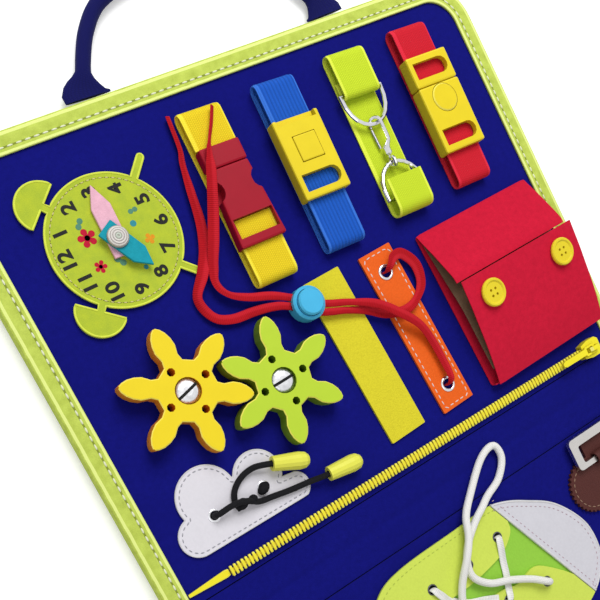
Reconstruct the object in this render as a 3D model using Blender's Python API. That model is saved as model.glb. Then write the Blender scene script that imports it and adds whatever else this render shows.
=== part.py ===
# Busy board: a soft felt board for a small child that folds in half like a case. Each half is a padded
# panel with a bound edge and a carrying handle, and the open face carries a practice dial, two meshing
# gears, four webbing straps with different buckles, a buttoned pocket, a lacing strip with a cord stopper,
# elastic cord ends on a cloud, a zip, a shoe to lace and a belt buckle.
# The frame: X across the board, Y from the lower half to the upper half, Z up from the table.
# The origin lies on the table under the middle of the spine. Heights above the felt face are written from
# FACE_Z, and each strap and the pocket is drawn in its own turned frame on the felt.
import math

import bmesh
import bpy
from mathutils import Matrix, Vector

MM = 0.001

# The board: two padded halves, the spine between their fold lines, and the binding round the edge
BOARD_WIDTH = 300.0 * MM
HALF_LENGTH = 239.4 * MM
SPINE_HALF = 15.5 * MM
FOLD_SEAM = 0.3 * MM
CORNER_RADIUS = 25.0 * MM
BINDING_ARM = 10.6 * MM
BINDING_WALL = 1.3 * MM
BINDING_EDGE = 0.45 * MM
BACKING_TOP = 6.0 * MM
FELT_THICKNESS = 1.7 * MM
SEAT = 0.3 * MM
CORNER_STEPS = 7
FACE_Z = BACKING_TOP + SEAT + FELT_THICKNESS
BINDING_TOP = FACE_Z + SEAT + BINDING_WALL
FOLD_LIFT = 0.2 * MM
FOLD_Z = BINDING_TOP + FOLD_LIFT

# The carrying handles: a padded tube that narrows up from a flat sewn tab at each end
HANDLE_SPAN = 136.0 * MM
HANDLE_RISE = 46.5 * MM
HANDLE_TAB_WIDTH = 24.0 * MM
HANDLE_TAB_HALF = 1.5 * MM
HANDLE_TAB_LENGTH = 6.0 * MM
HANDLE_TAPER = 14.0 * MM
HANDLE_TUBE = 8.6 * MM
HANDLE_AXIS_OUT = 1.9 * MM
HANDLE_SIDES = 10
HANDLE_STATIONS = 25

# The practice dial, with its bells, its feet and two felt hands on a rivet
DIAL_X, DIAL_Y = -89.7 * MM, 177.7 * MM
DIAL_RADIUS = 31.2 * MM
DIAL_THICKNESS = 1.7 * MM
DIAL_UP = 181.0
BELL_RADIUS = 11.5 * MM
BELL_STEM = 3.1 * MM
BELL_STEM_WIDTH = 3.2 * MM
BELL_ANGLE = 49.0
FOOT_LENGTH = 12.3 * MM
FOOT_WIDTH = 3.0 * MM
FOOT_ANGLE = 135.0
HAND_THICKNESS = 1.8 * MM
HAND_WIDTH = 9.3 * MM
MINUTE_REACH = 26.0 * MM
MINUTE_TAIL = 8.0 * MM
MINUTE_TURN = -2.0
HOUR_REACH = 19.6 * MM
HOUR_TAIL = 7.0 * MM
HOUR_TURN = -152.0
HAND_SHOULDER_SHARE = 0.6
RIVET_SHANK = 1.9 * MM
RIVET_HEAD = 5.0 * MM
RIVET_HEAD_HEIGHT = 2.2 * MM
RIVET_SEAT = 0.35 * MM

# The pair of meshing gears, each with six petal teeth, turning on a slotted screw
GEAR_DISTANCE = 46.35 * MM
GEAR_LINE_TURN = -20.2
GEAR_TIP = 31.0 * MM
GEAR_ROOT = 13.6 * MM
GEAR_TOOTH_HALF = 5.2 * MM
GEAR_TEETH = 6
GEAR_BOTTOM = 1.8 * MM
GEAR_TOP = 11.0 * MM
GEAR_EDGE = 0.8 * MM
GEAR_BORE = 3.6 * MM
GEAR_RECESS = 6.3 * MM
GEAR_RECESS_DEPTH = 3.0 * MM
GEAR_PEG_HOLE = 2.0 * MM
GEAR_PEG_RING = 11.2 * MM
GEAR_PEG_TURN = 45.0
YELLOW_X, YELLOW_Y = -96.1 * MM, 103.1 * MM
YELLOW_TIP_ANGLE = -28.8
GREEN_TIP_ANGLE = -41.6
SCREW_SHANK = 3.2 * MM
SCREW_SHOULDER = 5.2 * MM
SCREW_HEAD = 5.7 * MM
SCREW_HEAD_HEIGHT = 2.3 * MM
SCREW_SLOT = 1.4 * MM
SCREW_SLOT_DEPTH = 1.1 * MM
# Each tooth's half width along its length, from the root circle to the tip
TOOTH_SHARES = ((0.0, 0.92), (0.18, 0.8), (0.42, 1.0), (0.62, 0.93), (0.8, 0.72), (0.93, 0.42), (1.0, 0.12))

# The webbing of the four straps: its width, its thickness and how far its loops stand off the felt
WEBBING_WIDTH = 22.0 * MM
WEBBING_THICKNESS = 1.2 * MM
WEBBING_TOP = 7.6 * MM
STRAP_1_X, STRAP_1_Y, STRAP_1_TURN = -27.3 * MM, 174.1 * MM, -1.6
STRAP_2_X, STRAP_2_Y, STRAP_2_TURN = 15.1 * MM, 174.5 * MM, -2.2
STRAP_3_X, STRAP_3_Y, STRAP_3_TURN = 60.1 * MM, 175.5 * MM, -1.8
STRAP_4_X, STRAP_4_Y, STRAP_4_TURN = 101.9 * MM, 175.9 * MM, -1.4
STRAP_LENGTH = 88.0 * MM

# Buckle 1, the side-release buckle: a socket on one strap end and a plug with two sprung arms on the other
SOCKET_FRONT = 13.4 * MM
SOCKET_REAR = -25.0 * MM
SOCKET_FRONT_WIDTH = 20.6 * MM
SOCKET_REAR_WIDTH = 25.0 * MM
SOCKET_BOTTOM = 4.0 * MM
SOCKET_TOP = 11.4 * MM
SOCKET_SLOT_LENGTH = 9.6 * MM
SOCKET_SLOT_WIDTH = 21.4 * MM
SOCKET_BAR = 4.4 * MM
SOCKET_CAVITY_DEPTH = 20.0 * MM
SOCKET_CAVITY_WIDTH = 15.6 * MM
SOCKET_CAVITY_LOW = 5.4 * MM
SOCKET_CAVITY_HIGH = 9.6 * MM
PLUG_BASE_LENGTH = 10.4 * MM
PLUG_BASE_WIDTH = 21.6 * MM
PLUG_ARM_LENGTH = 17.0 * MM
PLUG_ARM_WIDTH = 2.6 * MM
PLUG_GUIDE_WIDTH = 3.2 * MM
WINDOW_RADIUS = 5.4 * MM

# Buckle 2, the press-button buckle: a flat latch slides out of a body with a square button
BODY_WIDTH = 26.4 * MM
BODY_TOP = 12.2 * MM
BODY_BOTTOM = 4.2 * MM
BODY_2_FRONT = 19.5 * MM
BODY_2_REAR = -17.6 * MM
BODY_EDGE = 1.0 * MM
HORN_LENGTH = 3.2 * MM
HORN_WIDTH = 2.0 * MM
SLOT_LENGTH = 8.6 * MM
SLOT_WIDTH = 21.2 * MM
SLOT_BAR = 3.6 * MM
BAR_THICKNESS = 3.0 * MM
BUTTON_2_SIZE = 12.6 * MM
BUTTON_2_PLACE = 6.6 * MM
BUTTON_PROUD = 0.6 * MM
BUTTON_PRESS = 1.4 * MM
LATCH_LOW = 6.4 * MM
LATCH_THICKNESS = 2.0 * MM
LATCH_WIDTH = 15.0 * MM
LATCH_DEPTH = 18.0 * MM
LATCH_HOLE = 6.0 * MM

# Buckle 4, the centre-release buckle: two halves, with a round button on the lower one
BUCKLE_4_HALF = 26.0 * MM
BUCKLE_4_SPLIT = 9.4 * MM
BUTTON_4_RADIUS = 7.4 * MM
BUTTON_4_PLACE = 1.4 * MM

# Strap 3: two D-rings held by the webbing, joined by a swivel snap hook with a sprung gate
RING_WIRE = 1.1 * MM
RING_HALF_WIDTH = 12.6 * MM
RING_DEPTH = 18.0 * MM
RING_Z = 5.4 * MM
RING_UPPER_BAR = 22.4 * MM
RING_LOWER_BAR = -34.5 * MM
RING_LOWER_BAR_Z = 6.6 * MM
LOWER_LOOP_TOP = 9.9 * MM
LOWER_LOOP_MOUTH = -24.5 * MM
HOOK_WIRE = 0.9 * MM
HOOK_EYE = 2.7 * MM
HOOK_COLLAR = 2.0 * MM
HOOK_COLLAR_START = 4.6 * MM
HOOK_COLLAR_END = 7.4 * MM
HOOK_PLAY = 1.1 * MM
HOOK_HALF_WIDTH = 3.2 * MM
HOOK_GATE_WIRE = 0.75 * MM
HOOK_TILT = 50.0

# The pocket: a folded felt sheet with a flap at the top, a liner, and a buttoned cover hinged at the bottom
POCKET_X, POCKET_Y, POCKET_TURN = 95.3 * MM, 77.0 * MM, 1.6
POCKET_WIDTH = 80.0 * MM
POCKET_HALF_LENGTH = 44.8 * MM
POCKET_FELT = 1.2 * MM
POCKET_FLAP_TIP = 13.0 * MM
POCKET_FLAP_HEIGHT = 15.4 * MM
POCKET_GUSSET = 5.0 * MM
COVER_ROOT_Z = 6.5 * MM
COVER_TOP_EDGE = 12.4 * MM
COVER_TOP_Z = 17.4 * MM
COVER_SHIFT = 2.0 * MM
COVER_WIDTH = 81.5 * MM
LINER_THICKNESS = 1.0 * MM
LINER_WIDTH = 77.0 * MM
LINER_FOOT = 40.0 * MM
LINER_END = -36.0 * MM
LINER_TOP_Z = 7.3 * MM
COVER_BOW_SHARES = ((0.24, 0.35), (0.5, 0.62), (0.74, 0.83))
POCKET_BUTTON_RADIUS = 7.5 * MM
POCKET_BUTTON_THICKNESS = 2.6 * MM
POCKET_BUTTON_SPREAD = 52.0 * MM
BUTTON_HOLE = 0.8 * MM
BUTTON_HOLE_RING = 2.2 * MM
BUTTON_DISH = 5.4 * MM
BUTTON_DISH_DEPTH = 0.7 * MM

# The hook strip, and the lacing strip with two eyelets
HOOK_STRIP_X, HOOK_STRIP_Y, HOOK_STRIP_TURN = -3.5 * MM, 78.4 * MM, 2.9
HOOK_STRIP_WIDTH = 22.2 * MM
HOOK_STRIP_LENGTH = 90.3 * MM
HOOK_STRIP_THICKNESS = 1.4 * MM
LACING_X, LACING_Y, LACING_TURN = 30.3 * MM, 77.8 * MM, 3.0
LACING_WIDTH = 20.5 * MM
LACING_LENGTH = 90.6 * MM
LACING_THICKNESS = 1.4 * MM
LACING_EYELET_SPACING = 65.8 * MM
EYELET_HOLE = 2.5 * MM
EYELET_RIM = 4.3 * MM
EYELET_HEIGHT = 2.2 * MM

# The cord stopper: a barrel with a cross slot for two laces, and a sprung plunger
STOPPER_X, STOPPER_Y, STOPPER_TURN = -22.0 * MM, 114.0 * MM, -34.0
STOPPER_RADIUS = 8.4 * MM
STOPPER_HEIGHT = 11.0 * MM
STOPPER_SLOT_HALF = 4.6 * MM
STOPPER_SLOT_LOW = 3.3 * MM
STOPPER_SLOT_HIGH = 7.7 * MM
PLUNGER_RADIUS = 6.6 * MM
PLUNGER_TOP = 13.8 * MM
PLUNGER_PRESS = 2.4 * MM
PLUNGER_LOW = 6.0 * MM
PLUNGER_ROOF = 10.2 * MM
LACE_DIAMETER = 3.4 * MM

# The cloud patch with its two eyelets, and the two elastic cords with bell-shaped cord ends
CLOUD_X, CLOUD_Y = -97.0 * MM, 46.0 * MM
CLOUD_WIDTH = 70.0 * MM
CLOUD_FLOOR = 13.0 * MM
CLOUD_THICKNESS = 1.2 * MM
CLOUD_STEPS = 56
CLOUD_EYELET_SPACING = 27.4 * MM
CLOUD_EYELET_RISE = 1.3 * MM
CLOUD_EYELET = 2.2 * MM
# Each lobe's centre and radius, as shares of the cloud's width
CLOUD_LOBE_SHARES = ((-0.35, -0.03, 0.139), (-0.179, 0.15, 0.214), (0.2, 0.107, 0.176),
                     (0.407, -0.093, 0.104))
ELASTIC_DIAMETER = 3.0 * MM
CORD_END_LENGTH = 19.0 * MM
CORD_END_RADIUS = 4.4 * MM
CORD_END_MOUTH = 3.6 * MM
CORD_END_BORE = 1.9 * MM
CORD_END_BORE_DEPTH = 6.0 * MM

# The zip: a chain of teeth on a raised tape edge, a slider round it and a pull on the slider's crown
ZIP_Y = 21.3 * MM
ZIP_START = 34.0 * MM
ZIP_END = 17.0 * MM
ZIP_LEFT = ZIP_START - BOARD_WIDTH / 2
ZIP_RIGHT = BOARD_WIDTH / 2 - ZIP_END
ZIP_PITCH = 4.2 * MM
ZIP_CHAIN_WIDTH = 5.2 * MM
ZIP_CORE_WIDTH = 3.2 * MM
ZIP_TAPE_WIDTH = 2.0 * MM
ZIP_TAPE_TOP = 1.5 * MM
ZIP_TEETH_TOP = 3.3 * MM
SLIDER_FROM_EDGE = 25.5 * MM
SLIDER_X = BOARD_WIDTH / 2 - SLIDER_FROM_EDGE
SLIDER_LENGTH = 13.0 * MM
SLIDER_WIDTH = 10.2 * MM
SLIDER_NOSE_WIDTH = 7.6 * MM
SLIDER_WALL = 1.2 * MM
SLIDER_TRAVEL = 225.0 * MM
CROWN_LENGTH = 7.0 * MM
CROWN_WIDTH = 2.2 * MM
CROWN_WIRE = 1.3 * MM
CROWN_HEIGHT = 4.2 * MM
PULL_LENGTH = 24.0 * MM
PULL_WIDTH = 3.4 * MM
PULL_THICKNESS = 1.4 * MM
PULL_HEAD_WIDTH = 5.2 * MM
PULL_WINDOW_WIDTH = 3.0 * MM
PULL_WINDOW_START = 1.0 * MM
PULL_WINDOW_END = 5.4 * MM
PULL_CROSS = 0.7 * MM
PULL_AXIS_RISE = 1.4 * MM

# The shoe: a green tongue layer, quarters with six eyelets, and a white toe cap
SHOE_X, SHOE_Y = -2.0 * MM, -63.0 * MM
SHOE_LENGTH = 148.0 * MM
SHOE_LAYER = 1.2 * MM
SHOE_TONGUE_INSET_SHARE = 0.97
SHOE_STEPS = 3
SHOE_EYELET = 2.4 * MM
SHOE_LACE_DIAMETER = 4.0 * MM
TOE_GAP = 0.5 * MM
# The sole's outline, the throat between the quarters, the toe cap's edge and the eyelets,
# as shares of the shoe's length about its middle
SHOE_OUTLINE_SHARES = (
    (0.301, 0.219), (0.216, 0.262), (0.135, 0.280), (-0.014, 0.276), (-0.264, 0.269), (-0.385, 0.230),
    (-0.473, 0.122), (-0.500, 0.007), (-0.459, -0.128), (-0.338, -0.230), (-0.054, -0.277),
    (0.216, -0.277), (0.378, -0.230), (0.461, -0.167), (0.499, -0.094), (0.491, 0.024), (0.409, 0.146),
)
THROAT_SHARES = (
    (0.196, 0.230), (0.193, 0.196), (0.181, 0.154), (0.120, 0.111), (0.034, 0.091), (-0.077, 0.080),
    (-0.291, 0.081), (-0.338, 0.041), (-0.291, 0.000), (0.028, -0.002), (0.114, -0.018), (0.198, -0.002),
    (0.255, -0.030), (0.352, -0.126), (0.420, -0.240), (0.330, 0.060),
)
TOE_EDGE_SHARES = ((0.196, 0.196), (0.392, -0.209))
SHOE_EYELET_SHARES = (
    (0.125, 0.168), (-0.028, 0.145), (-0.194, 0.147), (0.228, -0.076), (0.052, -0.047), (-0.122, -0.047),
)

# The belt: a scalloped leather patch with a metal frame buckle lying on its neck
BELT_X, BELT_Y = 101.0 * MM, -45.0 * MM
BELT_LENGTH = 60.0 * MM
BELT_WIDTH = 31.0 * MM
BELT_THICKNESS = 2.0 * MM
BELT_SCALLOPS = 34
BELT_SCALLOP = 0.6 * MM
BELT_NECK_WIDTH = 21.0 * MM
BELT_NECK_TOP = -18.5 * MM
BUCKLE_FRAME_LENGTH = 40.4 * MM
BUCKLE_FRAME_WIDTH = 18.0 * MM
BUCKLE_FRAME_TOP = -16.3 * MM
BUCKLE_FRAME_BAR = 5.0 * MM
BUCKLE_PIN_BAR = 3.0 * MM
BELT_LOOP_WIDTH = 14.0 * MM
BELT_LOOP_WALL = 1.3 * MM
BUCKLE_FRAME_THICKNESS = 2.6 * MM
BUCKLE_FRAME_CORNER = 2.4 * MM

# How far a cutter runs past what it cuts, and how finely round holes and bars are drawn
OVERRUN = 3.0 * MM
ROUND_STEPS = 24
HOLE_STEPS = 12

# The laces' and the elastic cords' routes on the upper half: x, y and the height over the felt, in mm
CORD_STEP_SHARE = 1.25
LACE_UPPER_ROUTE = (
    (28.6, 110.7, 0.6), (28.6, 110.7, 4.0), (30.4, 112.6, 6.4), (34.6, 115.8, 5.8), (40.6, 115.2, 4.4),
    (45.4, 107.6, 3.8), (43.8, 98.2, 3.8), (37.3, 92.0, 4.2), (28.3, 89.2, 4.2), (16.9, 92.0, 4.0),
    (6.5, 98.4, 4.4), (-4.0, 103.0, 5.0), (-16.2, 107.5, 5.5), (-30.2, 116.9, 5.4), (-37.0, 120.0, 4.4),
    (-46.0, 122.0, 3.0), (-58.0, 123.4, 2.6), (-66.0, 128.0, 2.6), (-69.0, 138.5, 3.4),
    (-61.4, 147.9, 4.6), (-54.4, 157.8, 4.0), (-49.6, 170.3, 3.0), (-46.9, 183.7, 2.8),
    (-44.1, 196.9, 2.6), (-41.6, 204.4, 2.6), (-39.6, 219.8, 2.4),
)
LACE_LOWER_ROUTE = (
    (32.0, 44.9, 0.6), (32.0, 44.9, 4.0), (32.9, 47.6, 6.4), (34.2, 54.9, 4.8), (33.6, 69.5, 4.6),
    (29.6, 79.8, 7.0), (21.4, 89.4, 8.6), (12.0, 98.6, 8.2), (0.0, 105.4, 6.2), (-13.8, 111.1, 5.5),
    (-27.8, 120.5, 5.4), (-36.0, 125.2, 4.8), (-46.0, 129.0, 4.4), (-54.4, 134.2, 4.2), (-57.6, 141.2, 4.2),
    (-55.2, 149.0, 5.4), (-49.6, 160.0, 7.6), (-44.2, 171.0, 9.6), (-40.6, 180.0, 12.4),
    (-37.2, 188.0, 14.0), (-33.6, 196.0, 13.8), (-31.0, 200.0, 12.7), (-28.6, 203.0, 11.3),
    (-24.4, 208.6, 10.6),
    (-20.4, 215.0, 10.4),
)
ELASTIC_A_ROUTE = (
    (-98.8, 43.6, 3.4), (-99.4, 48.6, 3.4), (-96.6, 53.4, 3.4), (-91.0, 56.8, 3.6), (-84.6, 57.9, 4.8),
    (-78.6, 56.4, 6.3), (-74.6, 54.8, 6.3), (-70.6, 53.2, 6.3),
)
ELASTIC_B_ROUTE = (
    (-110.7, 47.3, 0.4), (-110.7, 47.3, 3.4), (-108.9, 47.3, 5.6), (-103.4, 47.8, 6.8), (-98.6, 47.4, 7.6),
    (-93.4, 45.2, 6.4), (-89.0, 42.6, 3.8), (-81.0, 41.2, 3.6), (-73.1, 39.8, 3.6), (-62.4, 38.5, 4.2),
    (-54.6, 37.3, 5.0), (-50.6, 36.9, 5.0), (-46.6, 36.5, 5.0),
)
# The shoe lace's route on the lower half: out of an eyelet, up into the bow's loop and back to an eyelet
SHOE_LACE_ROUTE = (
    (31.7, -74.2, 2.0), (31.7, -74.2, 5.2), (28.6, -72.0, 7.6), (22.0, -66.8, 6.0), (11.0, -60.6, 5.6),
    (-1.0, -55.4, 5.6), (-8.2, -47.4, 5.6), (-7.4, -38.6, 5.8), (-1.3, -30.3, 5.7), (7.6, -23.4, 5.7),
    (15.0, -19.4, 5.5), (21.6, -16.2, 4.4), (32.9, -12.0, 3.2), (40.5, -3.4, 3.0), (39.0, 4.6, 3.0),
    (28.4, 1.9, 3.2),
    (12.7, -10.4, 4.4), (3.0, -18.0, 7.4), (-2.6, -27.0, 10.2), (-9.6, -36.0, 10.6), (-16.6, -46.0, 7.8),
    (-20.6, -56.0, 6.2), (-20.4, -65.4, 8.0), (-20.1, -70.0, 6.4), (-20.1, -70.0, 2.4),
)

# Finishes: base colour, roughness, metallic
FINISHES = {
    "felt_blue": ((0.012, 0.014, 0.22), 0.95, 0.0),
    "binding_lime": ((0.62, 0.8, 0.08), 0.85, 0.0),
    "felt_lime": ((0.58, 0.68, 0.05), 0.9, 0.0),
    "felt_pink": ((0.95, 0.55, 0.68), 0.9, 0.0),
    "felt_teal": ((0.0, 0.38, 0.5), 0.9, 0.0),
    "felt_red": ((0.62, 0.012, 0.04), 0.9, 0.0),
    "liner_tan": ((0.3, 0.2, 0.13), 0.9, 0.0),
    "webbing_yellow": ((0.9, 0.68, 0.02), 0.85, 0.0),
    "webbing_blue": ((0.02, 0.14, 0.62), 0.85, 0.0),
    "webbing_green": ((0.6, 0.78, 0.03), 0.85, 0.0),
    "webbing_red": ((0.66, 0.01, 0.04), 0.85, 0.0),
    "plastic_red": ((0.45, 0.008, 0.025), 0.35, 0.0),
    "plastic_yellow": ((0.9, 0.66, 0.02), 0.35, 0.0),
    "plastic_lime": ((0.82, 0.85, 0.08), 0.4, 0.0),
    "plastic_sky": ((0.1, 0.45, 0.8), 0.3, 0.0),
    "gear_yellow": ((0.9, 0.6, 0.02), 0.45, 0.0),
    "gear_green": ((0.5, 0.68, 0.03), 0.45, 0.0),
    "steel": ((0.8, 0.8, 0.82), 0.25, 1.0),
    "hook_yellow": ((0.85, 0.75, 0.05), 0.95, 0.0),
    "leather_orange": ((0.85, 0.17, 0.01), 0.6, 0.0),
    "leather_white": ((0.78, 0.78, 0.82), 0.6, 0.0),
    "leather_lime": ((0.72, 0.85, 0.1), 0.6, 0.0),
    "leather_green": ((0.18, 0.6, 0.02), 0.6, 0.0),
    "leather_brown": ((0.1, 0.035, 0.025), 0.65, 0.0),
    "lace_red": ((0.6, 0.01, 0.025), 0.85, 0.0),
    "lace_white": ((0.85, 0.85, 0.88), 0.8, 0.0),
    "elastic_black": ((0.006, 0.006, 0.008), 0.8, 0.0),
    "zip_yellow": ((0.85, 0.75, 0.02), 0.4, 0.0),
    "handle_blue": ((0.02, 0.03, 0.16), 0.9, 0.0),
}


def clear_scene():
    for obj in list(bpy.data.objects):
        bpy.data.objects.remove(obj)


def finish_material(name):
    """The material of that finish, made the first time it is asked for."""
    found = bpy.data.materials.get(name)
    if found:
        return found
    made = bpy.data.materials.new(name)
    made.use_nodes = True
    shader = made.node_tree.nodes["Principled BSDF"]
    colour, roughness, metallic = FINISHES[name]
    shader.inputs["Base Color"].default_value = (*colour, 1.0)
    shader.inputs["Roughness"].default_value = roughness
    shader.inputs["Metallic"].default_value = metallic
    return made


def frame_at(name, x, y, z, turn=0.0, parent=None):
    """An empty at a place, turned about Z, that carries the pieces drawn in its frame."""
    frame = bpy.data.objects.new(name, None)
    frame.location = (x, y, z)
    frame.rotation_euler = (0.0, 0.0, math.radians(turn))
    frame.parent = parent
    bpy.context.scene.collection.objects.link(frame)
    return frame


def add_object(name, data, finish, parent=None):
    obj = bpy.data.objects.new(name, data)
    if finish:
        data.materials.append(finish_material(finish))
    obj.parent = parent
    bpy.context.scene.collection.objects.link(obj)
    return obj


def add_bmesh(name, bm, finish, parent=None, smooth_angle=35.0):
    """Closes the bmesh into an object with outward faces, smooth where its faces meet gently."""
    bmesh.ops.recalc_face_normals(bm, faces=bm.faces)
    mesh = bpy.data.meshes.new(name)
    bm.to_mesh(mesh)
    bm.free()
    mesh.shade_smooth()
    mesh.set_sharp_from_angle(angle=math.radians(smooth_angle))
    return add_object(name, mesh, finish, parent)


def loft(name, rings, finish, parent=None, loop=False):
    """A skin over rings of points. Its ends are capped, or its last ring meets its first."""
    bm = bmesh.new()
    rows = [[bm.verts.new(point) for point in ring] for ring in rings]
    pairs = list(zip(rows, rows[1:])) + ([(rows[-1], rows[0])] if loop else [])
    for low, high in pairs:
        for i in range(len(low)):
            j = (i + 1) % len(low)
            bm.faces.new((low[i], low[j], high[j], high[i]))
    if not loop:
        bm.faces.new(rows[0])
        bm.faces.new(rows[-1])
    return add_bmesh(name, bm, finish, parent)


def at_height(outline, z):
    return [(x, y, z) for x, y in outline]


def plate(name, outline, low, high, finish, parent=None, holes=()):
    """A flat piece with this outline between two heights, with holes right through it."""
    bm = bmesh.new()
    edges = []
    for ring in (outline, *holes):
        corners = [bm.verts.new((x, y, low)) for x, y in ring]
        for a, b in zip(corners, corners[1:] + corners[:1]):
            edges.append(bm.edges.new((a, b)))
    filled = bmesh.ops.triangle_fill(bm, edges=edges, use_beauty=True, normal=(0.0, 0.0, 1.0))
    faces = [item for item in filled["geom"] if isinstance(item, bmesh.types.BMFace)]
    raised = bmesh.ops.extrude_face_region(bm, geom=faces)
    moved = [item for item in raised["geom"] if isinstance(item, bmesh.types.BMVert)]
    bmesh.ops.translate(bm, verts=moved, vec=(0.0, 0.0, high - low))
    return add_bmesh(name, bm, finish, parent)


def turned(name, profile, finish, parent=None, steps=ROUND_STEPS, at=(0.0, 0.0)):
    """A round piece from the radii and heights of its profile, bottom to top."""
    rings = []
    for radius, z in profile:
        rings.append([
            (at[0] + radius * math.cos(math.tau * i / steps),
             at[1] + radius * math.sin(math.tau * i / steps), z)
            for i in range(steps)
        ])
    return loft(name, rings, finish, parent)


def turned_ring(name, profile, finish, parent=None, steps=ROUND_STEPS, at=(0.0, 0.0)):
    """A ring from a closed profile of radii and heights."""
    rings = []
    for i in range(steps):
        angle = math.tau * i / steps
        rings.append([(at[0] + r * math.cos(angle), at[1] + r * math.sin(angle), z) for r, z in profile])
    return loft(name, rings, finish, parent, loop=True)


def arc(x, y, radius, start, end, steps):
    """Points along an arc, from one angle to another in degrees."""
    points = []
    for i in range(steps + 1):
        angle = math.radians(start + (end - start) * i / steps)
        points.append((x + radius * math.cos(angle), y + radius * math.sin(angle)))
    return points


def circle(x, y, radius, steps=HOLE_STEPS):
    return arc(x, y, radius, 0.0, 360.0 - 360.0 / steps, steps - 1)


def rectangle(x0, x1, y0, y1):
    return [(x0, y0), (x1, y0), (x1, y1), (x0, y1)]


def rounded_rectangle(x0, x1, y0, y1, radius, steps=3):
    corners = ((x1 - radius, y0 + radius, -90.0), (x1 - radius, y1 - radius, 0.0),
               (x0 + radius, y1 - radius, 90.0), (x0 + radius, y0 + radius, 180.0))
    outline = []
    for x, y, start in corners:
        outline += arc(x, y, radius, start, start + 90.0, steps)
    return outline


def turn_points(points, angle, x=0.0, y=0.0):
    """The points turned about the origin by an angle in degrees, then moved."""
    c, s = math.cos(math.radians(angle)), math.sin(math.radians(angle))
    return [(x + c * u - s * v, y + s * u + c * v) for u, v in points]


def smooth_closed(points, steps):
    """A closed smooth curve through the points."""
    found = []
    count = len(points)
    for i in range(count):
        p0, p1, p2, p3 = (Vector(points[(i + k) % count]) for k in (-1, 0, 1, 2))
        for j in range(steps):
            t = j / steps
            found.append(tuple(0.5 * (2 * p1 + (p2 - p0) * t + (2 * p0 - 5 * p1 + 4 * p2 - p3) * t * t
                                      + (3 * p1 - p0 - 3 * p2 + p3) * t ** 3)))
    return found


def smooth_open(points, spacing):
    """A smooth curve through the points, read off at even steps of about the spacing."""
    ends = [2 * Vector(points[0]) - Vector(points[1]), *map(Vector, points),
            2 * Vector(points[-1]) - Vector(points[-2])]
    fine = []
    per_span = 12
    for i in range(1, len(ends) - 2):
        p0, p1, p2, p3 = ends[i - 1:i + 3]
        for j in range(per_span):
            t = j / per_span
            fine.append(0.5 * (2 * p1 + (p2 - p0) * t + (2 * p0 - 5 * p1 + 4 * p2 - p3) * t * t
                               + (3 * p1 - p0 - 3 * p2 + p3) * t ** 3))
    fine.append(ends[-2])
    lengths = [0.0]
    for a, b in zip(fine, fine[1:]):
        lengths.append(lengths[-1] + (b - a).length)
    count = max(2, round(lengths[-1] / spacing))
    found, k = [], 0
    for i in range(count + 1):
        goal = lengths[-1] * i / count
        while k < len(fine) - 2 and lengths[k + 1] < goal:
            k += 1
        span = lengths[k + 1] - lengths[k]
        found.append(fine[k].lerp(fine[k + 1], (goal - lengths[k]) / span if span else 0.0))
    return found


def cord(name, route, diameter, finish, parent=None):
    """A round cord along a route given in mm, as a curve with a round bevel and filled ends."""
    points = smooth_open([Vector(point) * MM for point in route], CORD_STEP_SHARE * diameter)
    curve = bpy.data.curves.new(name, "CURVE")
    curve.dimensions = "3D"
    curve.bevel_depth = diameter / 2
    curve.bevel_resolution = 2
    curve.use_fill_caps = True
    spline = curve.splines.new("POLY")
    spline.points.add(len(points) - 1)
    for place, point in zip(spline.points, points):
        place.co = (*point, 1.0)
    return add_object(name, curve, finish, parent)


def wire(name, points, radii, finish, parent=None, sides=8, loop=False):
    """A wire swept along 3-D points, with its own radius at each point."""
    count = len(points)
    points = [Vector(point) for point in points]
    up = None
    rings = []
    for i, point in enumerate(points):
        before = points[i - 1] if i or loop else point
        after = points[(i + 1) % count] if i + 1 < count or loop else point
        along = (after - before).normalized()
        if up is None:
            up = along.orthogonal().normalized()
        up = (up - along * up.dot(along)).normalized()
        side = along.cross(up)
        radius = radii[i] if isinstance(radii, (list, tuple)) else radii
        rings.append([
            tuple(point + radius * (math.cos(math.tau * k / sides) * up + math.sin(math.tau * k / sides)
                                    * side))
            for k in range(sides)
        ])
    return loft(name, rings, finish, parent, loop)


def folded_sheet(name, centreline, thickness, x0, x1, finish, parent=None):
    """A sheet whose fold, seen from its side, follows a centreline of (along, up) points."""
    left, right = [], []
    for i, (v, z) in enumerate(centreline):
        before = centreline[max(i - 1, 0)]
        after = centreline[min(i + 1, len(centreline) - 1)]
        d0 = Vector((v - before[0], z - before[1]))
        d1 = Vector((after[0] - v, after[1] - z))
        d0, d1 = (d0 if d0.length else d1).normalized(), (d1 if d1.length else d0).normalized()
        middle = (d0 + d1).normalized()
        half = thickness / 2 / max(0.5, middle.dot(d0))
        normal = Vector((-middle.y, middle.x)) * half
        left.append((v + normal.x, z + normal.y))
        right.append((v - normal.x, z - normal.y))
    section = left + right[::-1]
    rings = [[(x, v, z) for v, z in section] for x in (x0, x1)]
    return loft(name, rings, finish, parent)


def block(name, x0, x1, y0, y1, z0, z1, finish, parent=None, edge=0.0, taper=None):
    """A box, with its ends' widths set apart by taper (the half widths at y0 and y1), and rounded edges."""
    half_low, half_high = taper or (None, None)
    outline = rectangle(x0, x1, y0, y1)
    if taper:
        middle = (x0 + x1) / 2
        outline = [(middle - half_low, y0), (middle + half_low, y0), (middle + half_high, y1),
                   (middle - half_high, y1)]
    obj = loft(name, [at_height(outline, z0), at_height(outline, z1)], finish, parent)
    if edge:
        round_edges(obj, edge)
    return obj


def round_edges(obj, width, segments=2, limit=50.0):
    bevel = obj.modifiers.new("rounded edges", "BEVEL")
    bevel.width = width
    bevel.segments = segments
    bevel.limit_method = "ANGLE"
    bevel.angle_limit = math.radians(limit)


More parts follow.
